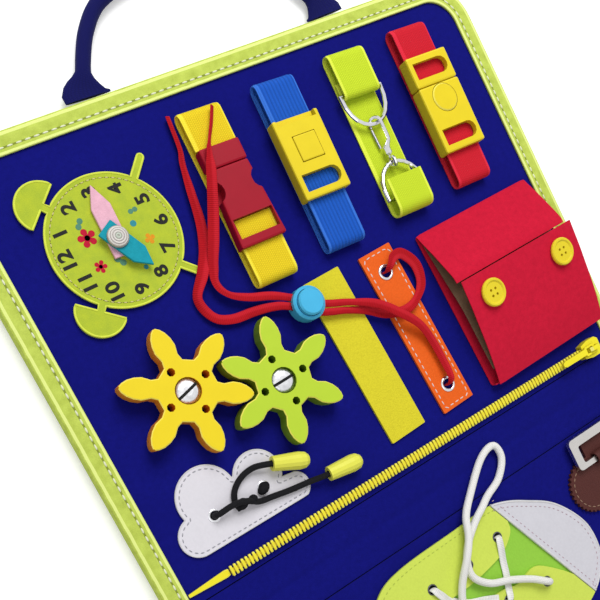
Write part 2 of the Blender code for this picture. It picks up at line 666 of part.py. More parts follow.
def combine(obj, other, operation):
    """Cuts one object from another, or joins it on, and leaves the other out of the model."""
    boolean = obj.modifiers.new(other.name, "BOOLEAN")
    boolean.operation = operation
    boolean.object = other
    boolean.solver = "EXACT"
    other.hide_render = True
    other.display_type = "WIRE"


def cut(obj, *cutters):
    for cutter in cutters:
        combine(obj, cutter, "DIFFERENCE")


def join(obj, *others):
    for other in others:
        combine(obj, other, "UNION")


def half_outline(inset, side, start=SPINE_HALF + FOLD_SEAM):
    """A half's outline, drawn in from its outer edge by the inset. Side is 1 for the upper half."""
    w, far, r = BOARD_WIDTH / 2 - inset, HALF_LENGTH - inset, CORNER_RADIUS - inset
    outline = [(-w, start), (w, start)]
    outline += arc(w - r, far - r, r, 0.0, 90.0, CORNER_STEPS)
    outline += arc(-w + r, far - r, r, 90.0, 180.0, CORNER_STEPS)
    return [(x, side * y) for x, y in outline]


def half_edge_path(side):
    """The outer edge of a half as points with their inward directions, from one fold end to the other."""
    w, r = BOARD_WIDTH / 2, CORNER_RADIUS
    path = [((w, SPINE_HALF + FOLD_SEAM), (-1.0, 0.0))]
    for x, start in ((w - r, 0.0), (-w + r, 90.0)):
        for i in range(CORNER_STEPS + 1):
            angle = math.radians(start + 90.0 * i / CORNER_STEPS)
            c, s = math.cos(angle), math.sin(angle)
            path.append(((x + r * c, HALF_LENGTH - r + r * s), (-c, -s)))
    path.append(((-w, SPINE_HALF + FOLD_SEAM), (1.0, 0.0)))
    return [((x, side * y), (u, side * v)) for (x, y), (u, v) in path]


def binding_section():
    """The binding's folded section: distances in from the board's edge, and heights."""
    e, wall, arm, top = BINDING_EDGE, BINDING_WALL, BINDING_ARM, BINDING_TOP
    return [(0.0, e), (0.0, top - e), (e, top), (arm, top), (arm, top - wall), (wall, top - wall),
            (wall, wall), (arm, wall), (arm, 0.0), (e, 0.0)]


def binding(name, path):
    section = binding_section()
    rings = [[(x + u * d, y + v * d, z) for d, z in section] for (x, y), (u, v) in path]
    return loft(name, rings, "binding_lime")


def build_half(prefix, side, holes):
    """One padded half: its backing board, its felt face and its folded binding."""
    arm_inset, wall_inset = BINDING_ARM + SEAT, BINDING_WALL + SEAT
    step = BINDING_WALL + SEAT
    rings = [at_height(half_outline(arm_inset, side), 0.0), at_height(half_outline(arm_inset, side), step),
             at_height(half_outline(wall_inset, side), step), at_height(half_outline(wall_inset, side),
                                                                        BACKING_TOP)]
    loft(prefix + "_backing", rings, "felt_blue")
    plate(prefix + "_face_felt", half_outline(wall_inset, side), BACKING_TOP + SEAT, FACE_Z, "felt_blue",
          holes=holes)
    binding(prefix + "_binding", half_edge_path(side))


def build_spine():
    """The soft spine between the fold lines, with its own short lengths of binding."""
    reach = SPINE_HALF - FOLD_SEAM
    arm_edge = BOARD_WIDTH / 2 - BINDING_ARM - SEAT
    wall_edge = BOARD_WIDTH / 2 - BINDING_WALL - SEAT
    step = BINDING_WALL + SEAT
    rings = [at_height(rectangle(-w, w, -reach, reach), z)
             for w, z in ((arm_edge, 0.0), (arm_edge, step), (wall_edge, step), (wall_edge, FACE_Z))]
    loft("spine_felt", rings, "felt_blue")
    for name, side in (("spine_binding_left", -1), ("spine_binding_right", 1)):
        edge = side * BOARD_WIDTH / 2
        binding(name, [((edge, -reach), (-side, 0.0)), ((edge, reach), (-side, 0.0))])


def build_handle(name, side):
    """A handle that swings on the line where its two tabs are sewn to the board's edge."""
    axis_y = HALF_LENGTH + HANDLE_AXIS_OUT
    root = frame_at(name + "_axis", 0.0, side * axis_y, BINDING_TOP / 2)
    half = HANDLE_SPAN / 2
    rise_shares = ((-1.0, 0.1), (-0.97, 0.36), (-0.8, 0.65), (-0.6, 0.84), (-0.3, 0.97), (0.0, 1.0))
    left = [(half * u, HANDLE_RISE * v, 0.0) for u, v in rise_shares]
    route = [(-half, 0.0, 0.0)] + left + [(-x, y, 0.0) for x, y, z in left[-2::-1]] + [(half, 0.0, 0.0)]
    points = smooth_open(route, HANDLE_SPAN * 1.7 / HANDLE_STATIONS)
    tail = HANDLE_TAB_HALF * 0.92
    points = [Vector((-half, -tail, 0.0))] + points + [Vector((half, -tail, 0.0))]
    rings = []
    count = len(points)
    for i, point in enumerate(points):
        along = (points[min(i + 1, count - 1)] - points[max(i - 1, 0)]).normalized()
        across = Vector((along.y, -along.x, 0.0))
        narrowing = min(1.0, max(0.0, (point.y - HANDLE_TAB_LENGTH) / HANDLE_TAPER))
        wide = HANDLE_TAB_WIDTH / 2 * (1 - narrowing) + HANDLE_TUBE / 2 * narrowing
        tall = HANDLE_TAB_HALF * (1 - narrowing) + HANDLE_TUBE / 2 * narrowing
        if i in (0, count - 1):
            tall = HANDLE_TAB_HALF * 0.35
        ring = []
        for k in range(HANDLE_SIDES):
            angle = math.tau * (k + 0.5) / HANDLE_SIDES
            place = point + across * wide * math.cos(angle) + Vector((0.0, 0.0, tall * math.sin(angle)))
            ring.append((place.x, side * place.y, place.z))
        rings.append(ring)
    loft(name, rings, "handle_blue", root)


def dial_outline():
    """The dial's round edge, walked out round each bell and each foot."""
    additions = []
    for side in (-1, 1):
        h = BELL_STEM_WIDTH / 2
        u = DIAL_RADIUS + BELL_STEM
        bell = [(u, -h), (u, -BELL_RADIUS)] + arc(u, 0.0, BELL_RADIUS, -80.0, 80.0,
                                                  12) + [(u, BELL_RADIUS), (u, h)]
        additions.append((side * BELL_ANGLE, h, bell))
        h = FOOT_WIDTH / 2
        u = DIAL_RADIUS + FOOT_LENGTH
        additions.append((side * FOOT_ANGLE, h, [(u - h, -h), (u, -h / 2), (u, h / 2), (u - h, h)]))
    outline = []
    previous = None
    additions.sort()
    for angle, h, points in additions:
        half_turn = math.degrees(math.asin(h / DIAL_RADIUS))
        if previous is not None:
            outline += arc(0.0, 0.0, DIAL_RADIUS, previous, angle - half_turn, 12)
        else:
            first = angle - half_turn
            outline += arc(0.0, 0.0, DIAL_RADIUS, first - 1.0, first, 1)[1:]
        outline += turn_points(points, angle)
        previous = angle + half_turn
    outline += arc(0.0, 0.0, DIAL_RADIUS, previous, first + 360.0, 14)[:-1]
    return turn_points(outline, DIAL_UP)


def hand_outline(reach, tail):
    w, shoulder = HAND_WIDTH / 2, reach * HAND_SHOULDER_SHARE
    return [(-w, -tail), (w, -tail), (w, shoulder), (0.0, reach), (-w, shoulder)]


def build_clock():
    low = SEAT
    dial_top = low + DIAL_THICKNESS
    minute_low = dial_top + SEAT
    minute_top = minute_low + HAND_THICKNESS
    hour_low = minute_top + SEAT
    hour_top = hour_low + HAND_THICKNESS
    frame = frame_at("clock_axis", DIAL_X, DIAL_Y, FACE_Z)
    bore = circle(0.0, 0.0, RIVET_SHANK + RIVET_SEAT)
    plate("clock_face", dial_outline(), low, dial_top, "felt_lime", frame, holes=[bore])
    minute = plate("minute_hand", hand_outline(MINUTE_REACH, MINUTE_TAIL), minute_low, minute_top,
                   "felt_pink", frame, holes=[bore])
    minute.rotation_euler.z = math.radians(MINUTE_TURN)
    hour = plate("hour_hand", hand_outline(HOUR_REACH, HOUR_TAIL), hour_low, hour_top, "felt_teal", frame,
                 holes=[bore])
    hour.rotation_euler.z = math.radians(HOUR_TURN)
    head = hour_top + SEAT
    h = RIVET_HEAD_HEIGHT
    profile = [(RIVET_SHANK, SEAT - FELT_THICKNESS), (RIVET_SHANK, head), (RIVET_HEAD, head),
               (RIVET_HEAD, head + 0.4 * h),
               (RIVET_HEAD * 0.78, head + 0.85 * h), (RIVET_HEAD * 0.3, head + h)]
    turned("clock_rivet", profile, "leather_white", frame, steps=20)


def gear_outline():
    """Six petal teeth on a root circle."""
    outline = []
    for tooth in range(GEAR_TEETH):
        rows = [(GEAR_ROOT + u * (GEAR_TIP - GEAR_ROOT), v * GEAR_TOOTH_HALF) for u, v in TOOTH_SHARES]
        petal = [(r, -w) for r, w in rows] + [(r, w) for r, w in reversed(rows)]
        outline += turn_points(petal, 360.0 * tooth / GEAR_TEETH)
    return outline


def build_gear(name, x, y, tip_angle, finish):
    frame = frame_at(name + "_axis", x, y, FACE_Z)
    gear = plate(name, gear_outline(), GEAR_BOTTOM, GEAR_TOP, finish, frame)
    gear.rotation_euler.z = math.radians(tip_angle)
    round_edges(gear, GEAR_EDGE, segments=1)
    low, high = GEAR_BOTTOM - OVERRUN, GEAR_TOP + OVERRUN
    bore = plate(name + "_bore", circle(0.0, 0.0, GEAR_BORE, 16), low, high, None, frame)
    recess = plate(name + "_recess", circle(0.0, 0.0, GEAR_RECESS, 20), GEAR_TOP - GEAR_RECESS_DEPTH, high,
                   None, frame)
    cut(gear, bore, recess)
    for i in range(4):
        angle = math.radians(tip_angle + GEAR_PEG_TURN + 90.0 * i)
        place = circle(GEAR_PEG_RING * math.cos(angle), GEAR_PEG_RING * math.sin(angle), GEAR_PEG_HOLE, 8)
        cut(gear, plate(f"{name}_peg_hole_{i}", place, low, high, None, frame))
    floor = GEAR_TOP - GEAR_RECESS_DEPTH
    head = floor + SEAT
    shoulder = GEAR_BOTTOM - SEAT
    top = head + SCREW_HEAD_HEIGHT
    profile = [(SCREW_SHANK, SEAT - FELT_THICKNESS), (SCREW_SHANK, SEAT), (SCREW_SHOULDER, SEAT),
               (SCREW_SHOULDER, shoulder),
               (SCREW_SHANK, shoulder), (SCREW_SHANK, head), (SCREW_HEAD, head),
               (SCREW_HEAD, top - 0.4 * SCREW_HEAD_HEIGHT),
               (SCREW_HEAD * 0.8, top - 0.1 * SCREW_HEAD_HEIGHT),
               (SCREW_HEAD * 0.4, top)]
    screw = turned(name + "_screw", profile, "steel", frame, steps=20)
    half_slot = SCREW_SLOT / 2
    slot = block(name + "_screw_slot", -SCREW_HEAD - OVERRUN, SCREW_HEAD + OVERRUN, -half_slot, half_slot,
                 top - SCREW_SLOT_DEPTH, top + OVERRUN, None, frame)
    slot.rotation_euler.z = math.radians(tip_angle + GEAR_PEG_TURN)
    cut(screw, slot)


def build_gears():
    build_gear("yellow_gear", YELLOW_X, YELLOW_Y, YELLOW_TIP_ANGLE, "gear_yellow")
    build_gear("green_gear", *green_gear_place(), GREEN_TIP_ANGLE, "gear_green")


def green_gear_place():
    angle = math.radians(GEAR_LINE_TURN)
    return YELLOW_X + GEAR_DISTANCE * math.cos(angle), YELLOW_Y + GEAR_DISTANCE * math.sin(angle)


def strap_frame(number):
    place = {1: (STRAP_1_X, STRAP_1_Y, STRAP_1_TURN), 2: (STRAP_2_X, STRAP_2_Y, STRAP_2_TURN),
             3: (STRAP_3_X, STRAP_3_Y, STRAP_3_TURN), 4: (STRAP_4_X, STRAP_4_Y, STRAP_4_TURN)}[number]
    return frame_at(f"strap_{number}_place", place[0], place[1], FACE_Z, place[2])


def fold(v, low, high, side, steps=6):
    """The round fold of a strap's end, from its sewn run up to its top run."""
    radius = (high - low) / 2
    points = []
    for i in range(steps + 1):
        angle = math.radians(-90.0 + 180.0 * i / steps)
        points.append((v + side * (radius * math.cos(angle) - radius),
                       low + radius + radius * math.sin(angle)))
    return points


def strap_webbing(number, frame, finish, upper_end, lower_end, upper_top=WEBBING_TOP,
                  lower_top=WEBBING_TOP):
    """A strap sewn flat to the felt, folded back at both ends over itself up to its buckle."""
    low = SEAT + WEBBING_THICKNESS / 2
    far = STRAP_LENGTH / 2 - WEBBING_THICKNESS / 2
    line = [(lower_end, lower_top)] + fold(-far, low, lower_top, -1)[::-1]
    line += fold(far, low, upper_top, 1) + [(upper_end, upper_top)]
    half = WEBBING_WIDTH / 2
    return folded_sheet(f"strap_{number}_webbing", line, WEBBING_THICKNESS, -half, half, finish, frame)


def build_strap_1():
    """The side-release buckle: the socket pulls away from the plug down the strap."""
    frame = strap_frame(1)
    bar_end = SOCKET_REAR + SOCKET_BAR
    slot_end = bar_end + SOCKET_SLOT_LENGTH
    plug_end = SOCKET_FRONT + SEAT + PLUG_BASE_LENGTH
    strap_webbing(1, frame, "webbing_yellow", plug_end + SEAT, slot_end - SEAT)
    rear, front = SOCKET_REAR_WIDTH / 2, SOCKET_FRONT_WIDTH / 2
    socket = block("buckle_1_female", -rear, rear, SOCKET_REAR, SOCKET_FRONT, SOCKET_BOTTOM, SOCKET_TOP,
                   "plastic_red",
                   frame, taper=(rear, front))
    round_edges(socket, BODY_EDGE)
    cavity = block("socket_cavity", -SOCKET_CAVITY_WIDTH / 2, SOCKET_CAVITY_WIDTH / 2,
                   SOCKET_FRONT - SOCKET_CAVITY_DEPTH,
                   SOCKET_FRONT + OVERRUN, SOCKET_CAVITY_LOW, SOCKET_CAVITY_HIGH, None, frame)
    slot = block("socket_slot", -SOCKET_SLOT_WIDTH / 2, SOCKET_SLOT_WIDTH / 2, bar_end, slot_end,
                 SOCKET_BOTTOM - OVERRUN, SOCKET_TOP + OVERRUN, None, frame)
    half_pass = WEBBING_WIDTH / 2 + SEAT
    underpass = block("socket_underpass", -half_pass, half_pass, SOCKET_REAR - OVERRUN, slot_end,
                      SOCKET_BOTTOM - OVERRUN, WEBBING_TOP + WEBBING_THICKNESS / 2 + SEAT, None, frame)
    cut(socket, cavity, slot, underpass)
    window_y = SOCKET_FRONT - SOCKET_CAVITY_DEPTH / 2
    for side in (-1, 1):
        outline = circle(side * (front + WINDOW_RADIUS / 2), window_y, WINDOW_RADIUS, 16)
        cut(socket, plate(f"socket_window_{side}", outline, SOCKET_CAVITY_LOW, SOCKET_TOP + OVERRUN, None,
                          frame))
    base = SOCKET_FRONT + SEAT
    half = PLUG_BASE_WIDTH / 2
    plug = block("buckle_1_male", -half, half, base, plug_end, SOCKET_BOTTOM, SOCKET_TOP - SEAT,
                 "plastic_red", frame)
    round_edges(plug, BODY_EDGE)
    arm_tip = base - PLUG_ARM_LENGTH
    arm_out = SOCKET_CAVITY_WIDTH / 2 - SEAT
    low, high = SOCKET_CAVITY_LOW + SEAT, SOCKET_CAVITY_HIGH - SEAT
    inside = base + BODY_EDGE * 2
    for side in (-1, 1):
        x0, x1 = sorted((side * arm_out, side * (arm_out - PLUG_ARM_WIDTH)))
        join(plug, block(f"plug_arm_{side}", x0, x1, arm_tip, inside, low, high, None, frame))
    guide = PLUG_GUIDE_WIDTH / 2
    join(plug, block("plug_guide", -guide, guide, arm_tip + PLUG_ARM_LENGTH / 3, inside, low, high, None,
                     frame))


def buckle_slot(name, frame, near, far, body_low, body_high):
    """A slot with one rounded end, and the way in under its outer bar, for the webbing."""
    half = SLOT_WIDTH / 2
    radius = abs(far - near) / 2
    low, high = min(near, far), max(near, far)
    outline = [(-half, low)] + arc(half - radius, (low + high) / 2, radius, -90.0, 90.0,
                                   6) + [(-half, high)]
    return plate(name, outline, body_low - OVERRUN, body_high + OVERRUN, None, frame)


def build_strap_2():
    """The press-button buckle: pressing the square button frees the flat latch."""
    frame = strap_frame(2)
    half = BODY_WIDTH / 2
    slot_low = BODY_2_REAR + SLOT_BAR
    slot_high = slot_low + SLOT_LENGTH
    strap_webbing(2, frame, "webbing_blue", BODY_2_FRONT + HORN_LENGTH + SEAT, slot_high - SEAT)
    body = block("buckle_2_body", -half, half, BODY_2_REAR, BODY_2_FRONT + HORN_LENGTH, BODY_BOTTOM,
                 BODY_TOP,
                 "plastic_yellow", frame, edge=BODY_EDGE)
    between = half - HORN_WIDTH
    mouth = block("body_2_mouth", -between, between, BODY_2_FRONT, BODY_2_FRONT + HORN_LENGTH + OVERRUN,
                  BODY_BOTTOM - OVERRUN, BODY_TOP + OVERRUN, None, frame)
    slot = buckle_slot("body_2_slot", frame, slot_low, slot_high, BODY_BOTTOM, BODY_TOP)
    half_pass = WEBBING_WIDTH / 2 + SEAT
    underpass = block("body_2_underpass", -half_pass, half_pass, BODY_2_REAR - OVERRUN, slot_high,
                      BODY_BOTTOM - OVERRUN,
                      BODY_TOP - BAR_THICKNESS, None, frame)
    cavity_half = LATCH_WIDTH / 2 + SEAT
    cavity = block("body_2_cavity", -cavity_half, cavity_half, BODY_2_FRONT - LATCH_DEPTH - SEAT,
                   BODY_2_FRONT + OVERRUN,
                   LATCH_LOW - SEAT, LATCH_LOW + LATCH_THICKNESS + SEAT, None, frame)
    hole = BUTTON_2_SIZE / 2 + SEAT
    shaft = block("body_2_button_hole", -hole, hole, BUTTON_2_PLACE - hole, BUTTON_2_PLACE + hole,
                  LATCH_LOW,
                  BODY_TOP + OVERRUN, None, frame)
    cut(body, mouth, slot, underpass, cavity, shaft)
    size = BUTTON_2_SIZE / 2
    foot = LATCH_LOW + LATCH_THICKNESS + SEAT + BUTTON_PRESS
    block("buckle_2_button", -size, size, BUTTON_2_PLACE - size, BUTTON_2_PLACE + size, foot,
          BODY_TOP + BUTTON_PROUD, "plastic_yellow", frame, edge=BUTTON_PROUD)
    width = LATCH_WIDTH / 2
    end = BODY_2_FRONT + HORN_LENGTH
    outline = [(-width, BODY_2_FRONT - LATCH_DEPTH + width / 2), (-width / 2, BODY_2_FRONT - LATCH_DEPTH),
               (width / 2, BODY_2_FRONT - LATCH_DEPTH), (width, BODY_2_FRONT - LATCH_DEPTH
                                                         + width / 2), (width, end), (-width, end)]
    window = LATCH_HOLE / 2
    latch_hole = rectangle(-window, window, BUTTON_2_PLACE - window, BUTTON_2_PLACE + window)
    tongue = plate("buckle_2_tongue", outline, LATCH_LOW, LATCH_LOW + LATCH_THICKNESS, "plastic_yellow",
                   frame, holes=[latch_hole])
    bar_half = between - SEAT
    join(tongue, block("tongue_2_bar", -bar_half, bar_half, BODY_2_FRONT + SEAT, end, LATCH_LOW,
                       BODY_TOP - BAR_THICKNESS, None, frame))


def build_strap_4():
    """The centre-release buckle: a half on each strap end, and a round button on the lower half."""
    frame = strap_frame(4)
    half = BODY_WIDTH / 2
    top, bottom = BODY_TOP, BODY_BOTTOM
    outer_slot = BUCKLE_4_HALF - SLOT_BAR
    inner_slot = outer_slot - SLOT_LENGTH
    strap_webbing(4, frame, "webbing_red", inner_slot + SEAT, -inner_slot - SEAT)
    half_pass = WEBBING_WIDTH / 2 + SEAT
    roof = top - BAR_THICKNESS
    upper = block("buckle_4_upper", -half, half, BUCKLE_4_SPLIT + SEAT, BUCKLE_4_HALF, bottom, top,
                  "plastic_yellow", frame,
                  edge=BODY_EDGE)
    cut(upper, buckle_slot("upper_4_slot", frame, inner_slot, outer_slot, bottom, top),
        block("upper_4_underpass", -half_pass, half_pass, inner_slot, BUCKLE_4_HALF + OVERRUN,
              bottom - OVERRUN, roof, None, frame))
    width = LATCH_WIDTH / 2
    tongue_end = BUCKLE_4_SPLIT - LATCH_DEPTH
    join(upper, block("upper_4_tongue", -width, width, tongue_end, BUCKLE_4_SPLIT + SEAT + BODY_EDGE * 2,
                      LATCH_LOW,
                      LATCH_LOW + LATCH_THICKNESS, None, frame))
    lower = block("buckle_4_lower", -half, half, -BUCKLE_4_HALF, BUCKLE_4_SPLIT, bottom, top,
                  "plastic_yellow", frame,
                  edge=BODY_EDGE)
    cavity_half = width + SEAT
    cavity = block("lower_4_cavity", -cavity_half, cavity_half, tongue_end - SEAT, BUCKLE_4_SPLIT + OVERRUN,
                   LATCH_LOW - SEAT, LATCH_LOW + LATCH_THICKNESS + SEAT, None, frame)
    shaft = plate("lower_4_button_hole", circle(0.0, BUTTON_4_PLACE, BUTTON_4_RADIUS + SEAT, 20),
                  LATCH_LOW, top + OVERRUN,
                  None, frame)
    cut(lower, buckle_slot("lower_4_slot", frame, -outer_slot, -inner_slot, bottom, top),
        block("lower_4_underpass", -half_pass, half_pass, -BUCKLE_4_HALF - OVERRUN, -inner_slot,
              bottom - OVERRUN, roof, None, frame),
        cavity, shaft)
    r = BUTTON_4_RADIUS
    foot = LATCH_LOW + LATCH_THICKNESS + SEAT + BUTTON_PRESS
    profile = [(r, foot), (r, top), (r - BUTTON_PROUD, top + BUTTON_PROUD), (r * 0.3, top + BUTTON_PROUD)]
    turned("buckle_4_button", profile, "plastic_yellow", frame, steps=20, at=(0.0, BUTTON_4_PLACE))


def ring_points(bar_y, bar_z, tip_z, side):
    """A D-ring's wire: a straight bar, and an arch to its tip on one side of the bar."""
    points = [(-RING_HALF_WIDTH * (1 - i / 3), bar_y, bar_z) for i in range(1, 6)]
    points = [(-x, y, z) for x, y, z in points][::-1] if side > 0 else points
    first = points[0][0]
    turn = 1 if first < 0 else -1
    arch = []
    for i in range(13):
        angle = math.pi * i / 12
        depth = RING_DEPTH * math.sin(angle) ** 0.8
        arch.append((turn * RING_HALF_WIDTH * math.cos(angle), bar_y + side * depth,
                     bar_z + (tip_z - bar_z) * depth / RING_DEPTH))
    return points + arch


def build_strap_3():
    """Two D-rings on one strap, and the snap hook that joins them."""
    frame = strap_frame(3)
    t = WEBBING_THICKNESS
    low = SEAT + t / 2
    far = STRAP_LENGTH / 2 - t / 2
    wrap = RING_WIRE + SEAT + t / 2
    upper_top = RING_Z + wrap
    tail = RING_Z - wrap
    line = [(far - STRAP_LENGTH / 6, tail), (RING_UPPER_BAR, tail)]
    line += [(RING_UPPER_BAR - wrap * math.cos(a), RING_Z + wrap * math.sin(a))
             for a in (math.radians(d) for d in (-60.0, -30.0, 0.0, 30.0, 60.0))]
    line += [(RING_UPPER_BAR, upper_top)] + fold(far, low, upper_top, 1)[::-1]
    line += fold(-far, low, LOWER_LOOP_TOP, -1) + [(LOWER_LOOP_MOUTH, LOWER_LOOP_TOP)]
    half = WEBBING_WIDTH / 2
    folded_sheet("strap_3_webbing", line, t, -half, half, "webbing_green", frame)
    upper_axis = frame_at("d_ring_upper_axis", 0.0, RING_UPPER_BAR, RING_Z, parent=frame)
    wire("d_ring_upper", ring_points(0.0, 0.0, 0.0, -1), RING_WIRE, "steel", upper_axis, loop=True)
    lower_axis = frame_at("d_ring_lower_axis", 0.0, RING_LOWER_BAR, RING_LOWER_BAR_Z, parent=frame)
    wire("d_ring_lower", ring_points(0.0, 0.0, RING_Z - RING_LOWER_BAR_Z, 1), RING_WIRE, "steel",
         lower_axis, loop=True)
    build_snap_hook(frame)


def build_snap_hook(frame):
    """The eye holds the lower ring, and the hook, with its gate, goes round the upper one."""
    start = Vector((0.0, RING_LOWER_BAR + RING_DEPTH, RING_Z))
    end = Vector((0.0, RING_UPPER_BAR - RING_DEPTH, RING_Z))
    length = (end - start).length
    axis = bpy.data.objects.new("snap_hook_axis", None)
    axis.location = start
    axis.parent = frame
    bpy.context.scene.collection.objects.link(axis)
    tilt = math.radians(HOOK_TILT)

    def place(s, t, h=0.0):
        """A point s along the hook, t across its tilted plane and h out of it."""
        return (t * math.cos(tilt) - h * math.sin(tilt), s, t * math.sin(tilt) + h * math.cos(tilt))

    points, radii = [], []
    for i in range(12):
        angle = math.radians(38.0 + 27.5 * i)
        points.append((0.0, HOOK_EYE * math.cos(angle), HOOK_EYE * math.sin(angle)))
        radii.append(HOOK_WIRE)
    points[-1] = (0.0, HOOK_EYE, -HOOK_WIRE)
    points += [(0.0, HOOK_COLLAR_START - HOOK_WIRE, 0.0), (0.0, HOOK_COLLAR_START, 0.0),
               (0.0, HOOK_COLLAR_END, 0.0)]
    radii += [HOOK_WIRE, HOOK_COLLAR, HOOK_COLLAR]
    w = HOOK_HALF_WIDTH
    reach = length + RING_WIRE + HOOK_WIRE + HOOK_PLAY - w
    points += [place(HOOK_COLLAR_END + w * 0.4, w * 0.35), place(HOOK_COLLAR_END + w * 1.2, w * 0.95)]
    points += [place(length * 0.65, w), place(reach, w)]
    radii += [HOOK_WIRE * 1.4, HOOK_WIRE, HOOK_WIRE, HOOK_WIRE]
    for i in range(1, 8):
        angle = math.pi * i / 8
        points.append(place(reach + w * math.sin(angle), w * math.cos(angle)))
        radii.append(HOOK_WIRE)
    nose = reach - HOOK_WIRE * 1.6
    points.append(place(nose, -w))
    radii.append(HOOK_WIRE)
    wire("snap_hook", points, radii, "steel", axis)
    gate_start = HOOK_COLLAR_END + HOOK_COLLAR * 0.6
    gate = frame_at("snap_hook_gate_axis", 0.0, 0.0, 0.0, parent=axis)
    gate.location = place(gate_start, -w * 0.9)
    gate_end = nose - HOOK_WIRE * 0.6
    run = gate_end - gate_start
    lean = -w * 0.1
    line = [place(run * k / 3, lean * k / 3) for k in range(4)]
    wire("snap_hook_gate", line, HOOK_GATE_WIRE, "steel", gate)


def cover_profile():
    """The cover's height over the felt along its length, from its hinge to its free edge."""
    start = (-POCKET_HALF_LENGTH, COVER_ROOT_Z)
    end = (COVER_TOP_EDGE, COVER_TOP_Z)
    line = [start]
    for u, w in COVER_BOW_SHARES:
        line.append((start[0] + u * (end[0] - start[0]), start[1] + w * (end[1] - start[1])))
    return line + [end]


def build_pocket():
    frame = frame_at("pocket_place", POCKET_X, POCKET_Y, FACE_Z, POCKET_TURN)
    half = POCKET_WIDTH / 2
    t = POCKET_FELT
    low = SEAT + t / 2
    far = POCKET_HALF_LENGTH - t
    flap_root = low + t + SEAT * 2
    line = [(POCKET_FLAP_TIP, POCKET_FLAP_HEIGHT), (POCKET_FLAP_TIP + t * 3, POCKET_FLAP_HEIGHT - t * 0.4),
            (far - t, flap_root + t * 0.3), (far, (low + flap_root) / 2), (far - t, low)]
    line += [(-far, low), (-far - t * 0.4, low + t), (-far - t * 0.4, POCKET_GUSSET)]
    folded_sheet("pocket_body", line, t, -half, half, "felt_red", frame)
    liner_low = SEAT + t + SEAT + LINER_THICKNESS / 2
    liner = [(LINER_FOOT, liner_low), (LINER_FOOT - t * 3, liner_low), (0.0, LINER_TOP_Z),
             (LINER_END, LINER_TOP_Z)]
    inner = LINER_WIDTH / 2
    folded_sheet("pocket_liner", liner, LINER_THICKNESS, -inner, inner, "liner_tan", frame)
    profile = cover_profile()
    root_y, root_z = profile[0]
    hinge = frame_at("pocket_cover_axis", 0.0, root_y, root_z, parent=frame)
    local = [(v - root_y, z - root_z) for v, z in profile]
    x0 = -COVER_WIDTH / 2 + COVER_SHIFT
    folded_sheet("pocket_cover", local, t, x0, x0 + COVER_WIDTH, "felt_red", hinge)
    low_point, high_point = local[-2], local[-1]
    slope = math.atan2(high_point[1] - low_point[1], high_point[0] - low_point[0])
    along = -root_y - low_point[0]
    surface = low_point[1] + along * math.tan(slope)
    for name, side in (("pocket_button_left", -1), ("pocket_button_right", 1)):
        seat = bpy.data.objects.new(name + "_seat", None)
        seat.location = (side * POCKET_BUTTON_SPREAD / 2 + COVER_SHIFT, -root_y, surface)
        seat.rotation_euler = (slope, 0.0, 0.0)
        seat.parent = hinge
        bpy.context.scene.collection.objects.link(seat)
        base = t / 2 + SEAT
        top = base + POCKET_BUTTON_THICKNESS
        r = POCKET_BUTTON_RADIUS
        dish = top - BUTTON_DISH_DEPTH
        profile = [(r * 0.8, base), (r, base + 0.35 * POCKET_BUTTON_THICKNESS),
                   (r, top - 0.25 * POCKET_BUTTON_THICKNESS),
                   (r * 0.93, top), (BUTTON_DISH + BUTTON_DISH_DEPTH, top), (BUTTON_DISH, dish)]
        button = turned(name, profile, "plastic_yellow", seat)
        for i in range(4):
            angle = math.radians(45.0 + 90.0 * i)
            hole = circle(BUTTON_HOLE_RING * math.cos(angle), BUTTON_HOLE_RING * math.sin(angle),
                          BUTTON_HOLE, 6)
            cut(button, plate(f"{name}_hole_{i}", hole, base - OVERRUN, top + OVERRUN, None, seat))


def eyelet(name, x, y, low, frame):
    """A pressed eyelet: a domed rim round a hole."""
    middle = (EYELET_HOLE + EYELET_RIM) / 2
    h = EYELET_HEIGHT
    profile = [(EYELET_HOLE, low), (EYELET_RIM, low), (EYELET_RIM, low + 0.6 * h), (middle, low + h),
               (EYELET_HOLE, low + 0.6 * h)]
    return turned_ring(name, profile, None, frame, steps=16, at=(x, y))


def build_strips():
    hook = frame_at("hook_strip_place", HOOK_STRIP_X, HOOK_STRIP_Y, FACE_Z, HOOK_STRIP_TURN)
    w, h = HOOK_STRIP_WIDTH / 2, HOOK_STRIP_LENGTH / 2
    block("hook_strip", -w, w, -h, h, SEAT, SEAT + HOOK_STRIP_THICKNESS, "hook_yellow", hook)
    frame = frame_at("lacing_strip_place", LACING_X, LACING_Y, FACE_Z, LACING_TURN)
    w, h = LACING_WIDTH / 2, LACING_LENGTH / 2
    centres = [(0.0, side * LACING_EYELET_SPACING / 2) for side in (-1, 1)]
    hole = (EYELET_HOLE + EYELET_RIM) / 2
    strip = plate("lacing_strip", rectangle(-w, w, -h, h), SEAT, SEAT + LACING_THICKNESS, "leather_orange",
                  frame,
                  holes=[circle(x, y, hole, 16) for x, y in centres])
    for i, (x, y) in enumerate(centres):
        join(strip, eyelet(f"lacing_eyelet_{i}", x, y, SEAT, frame))


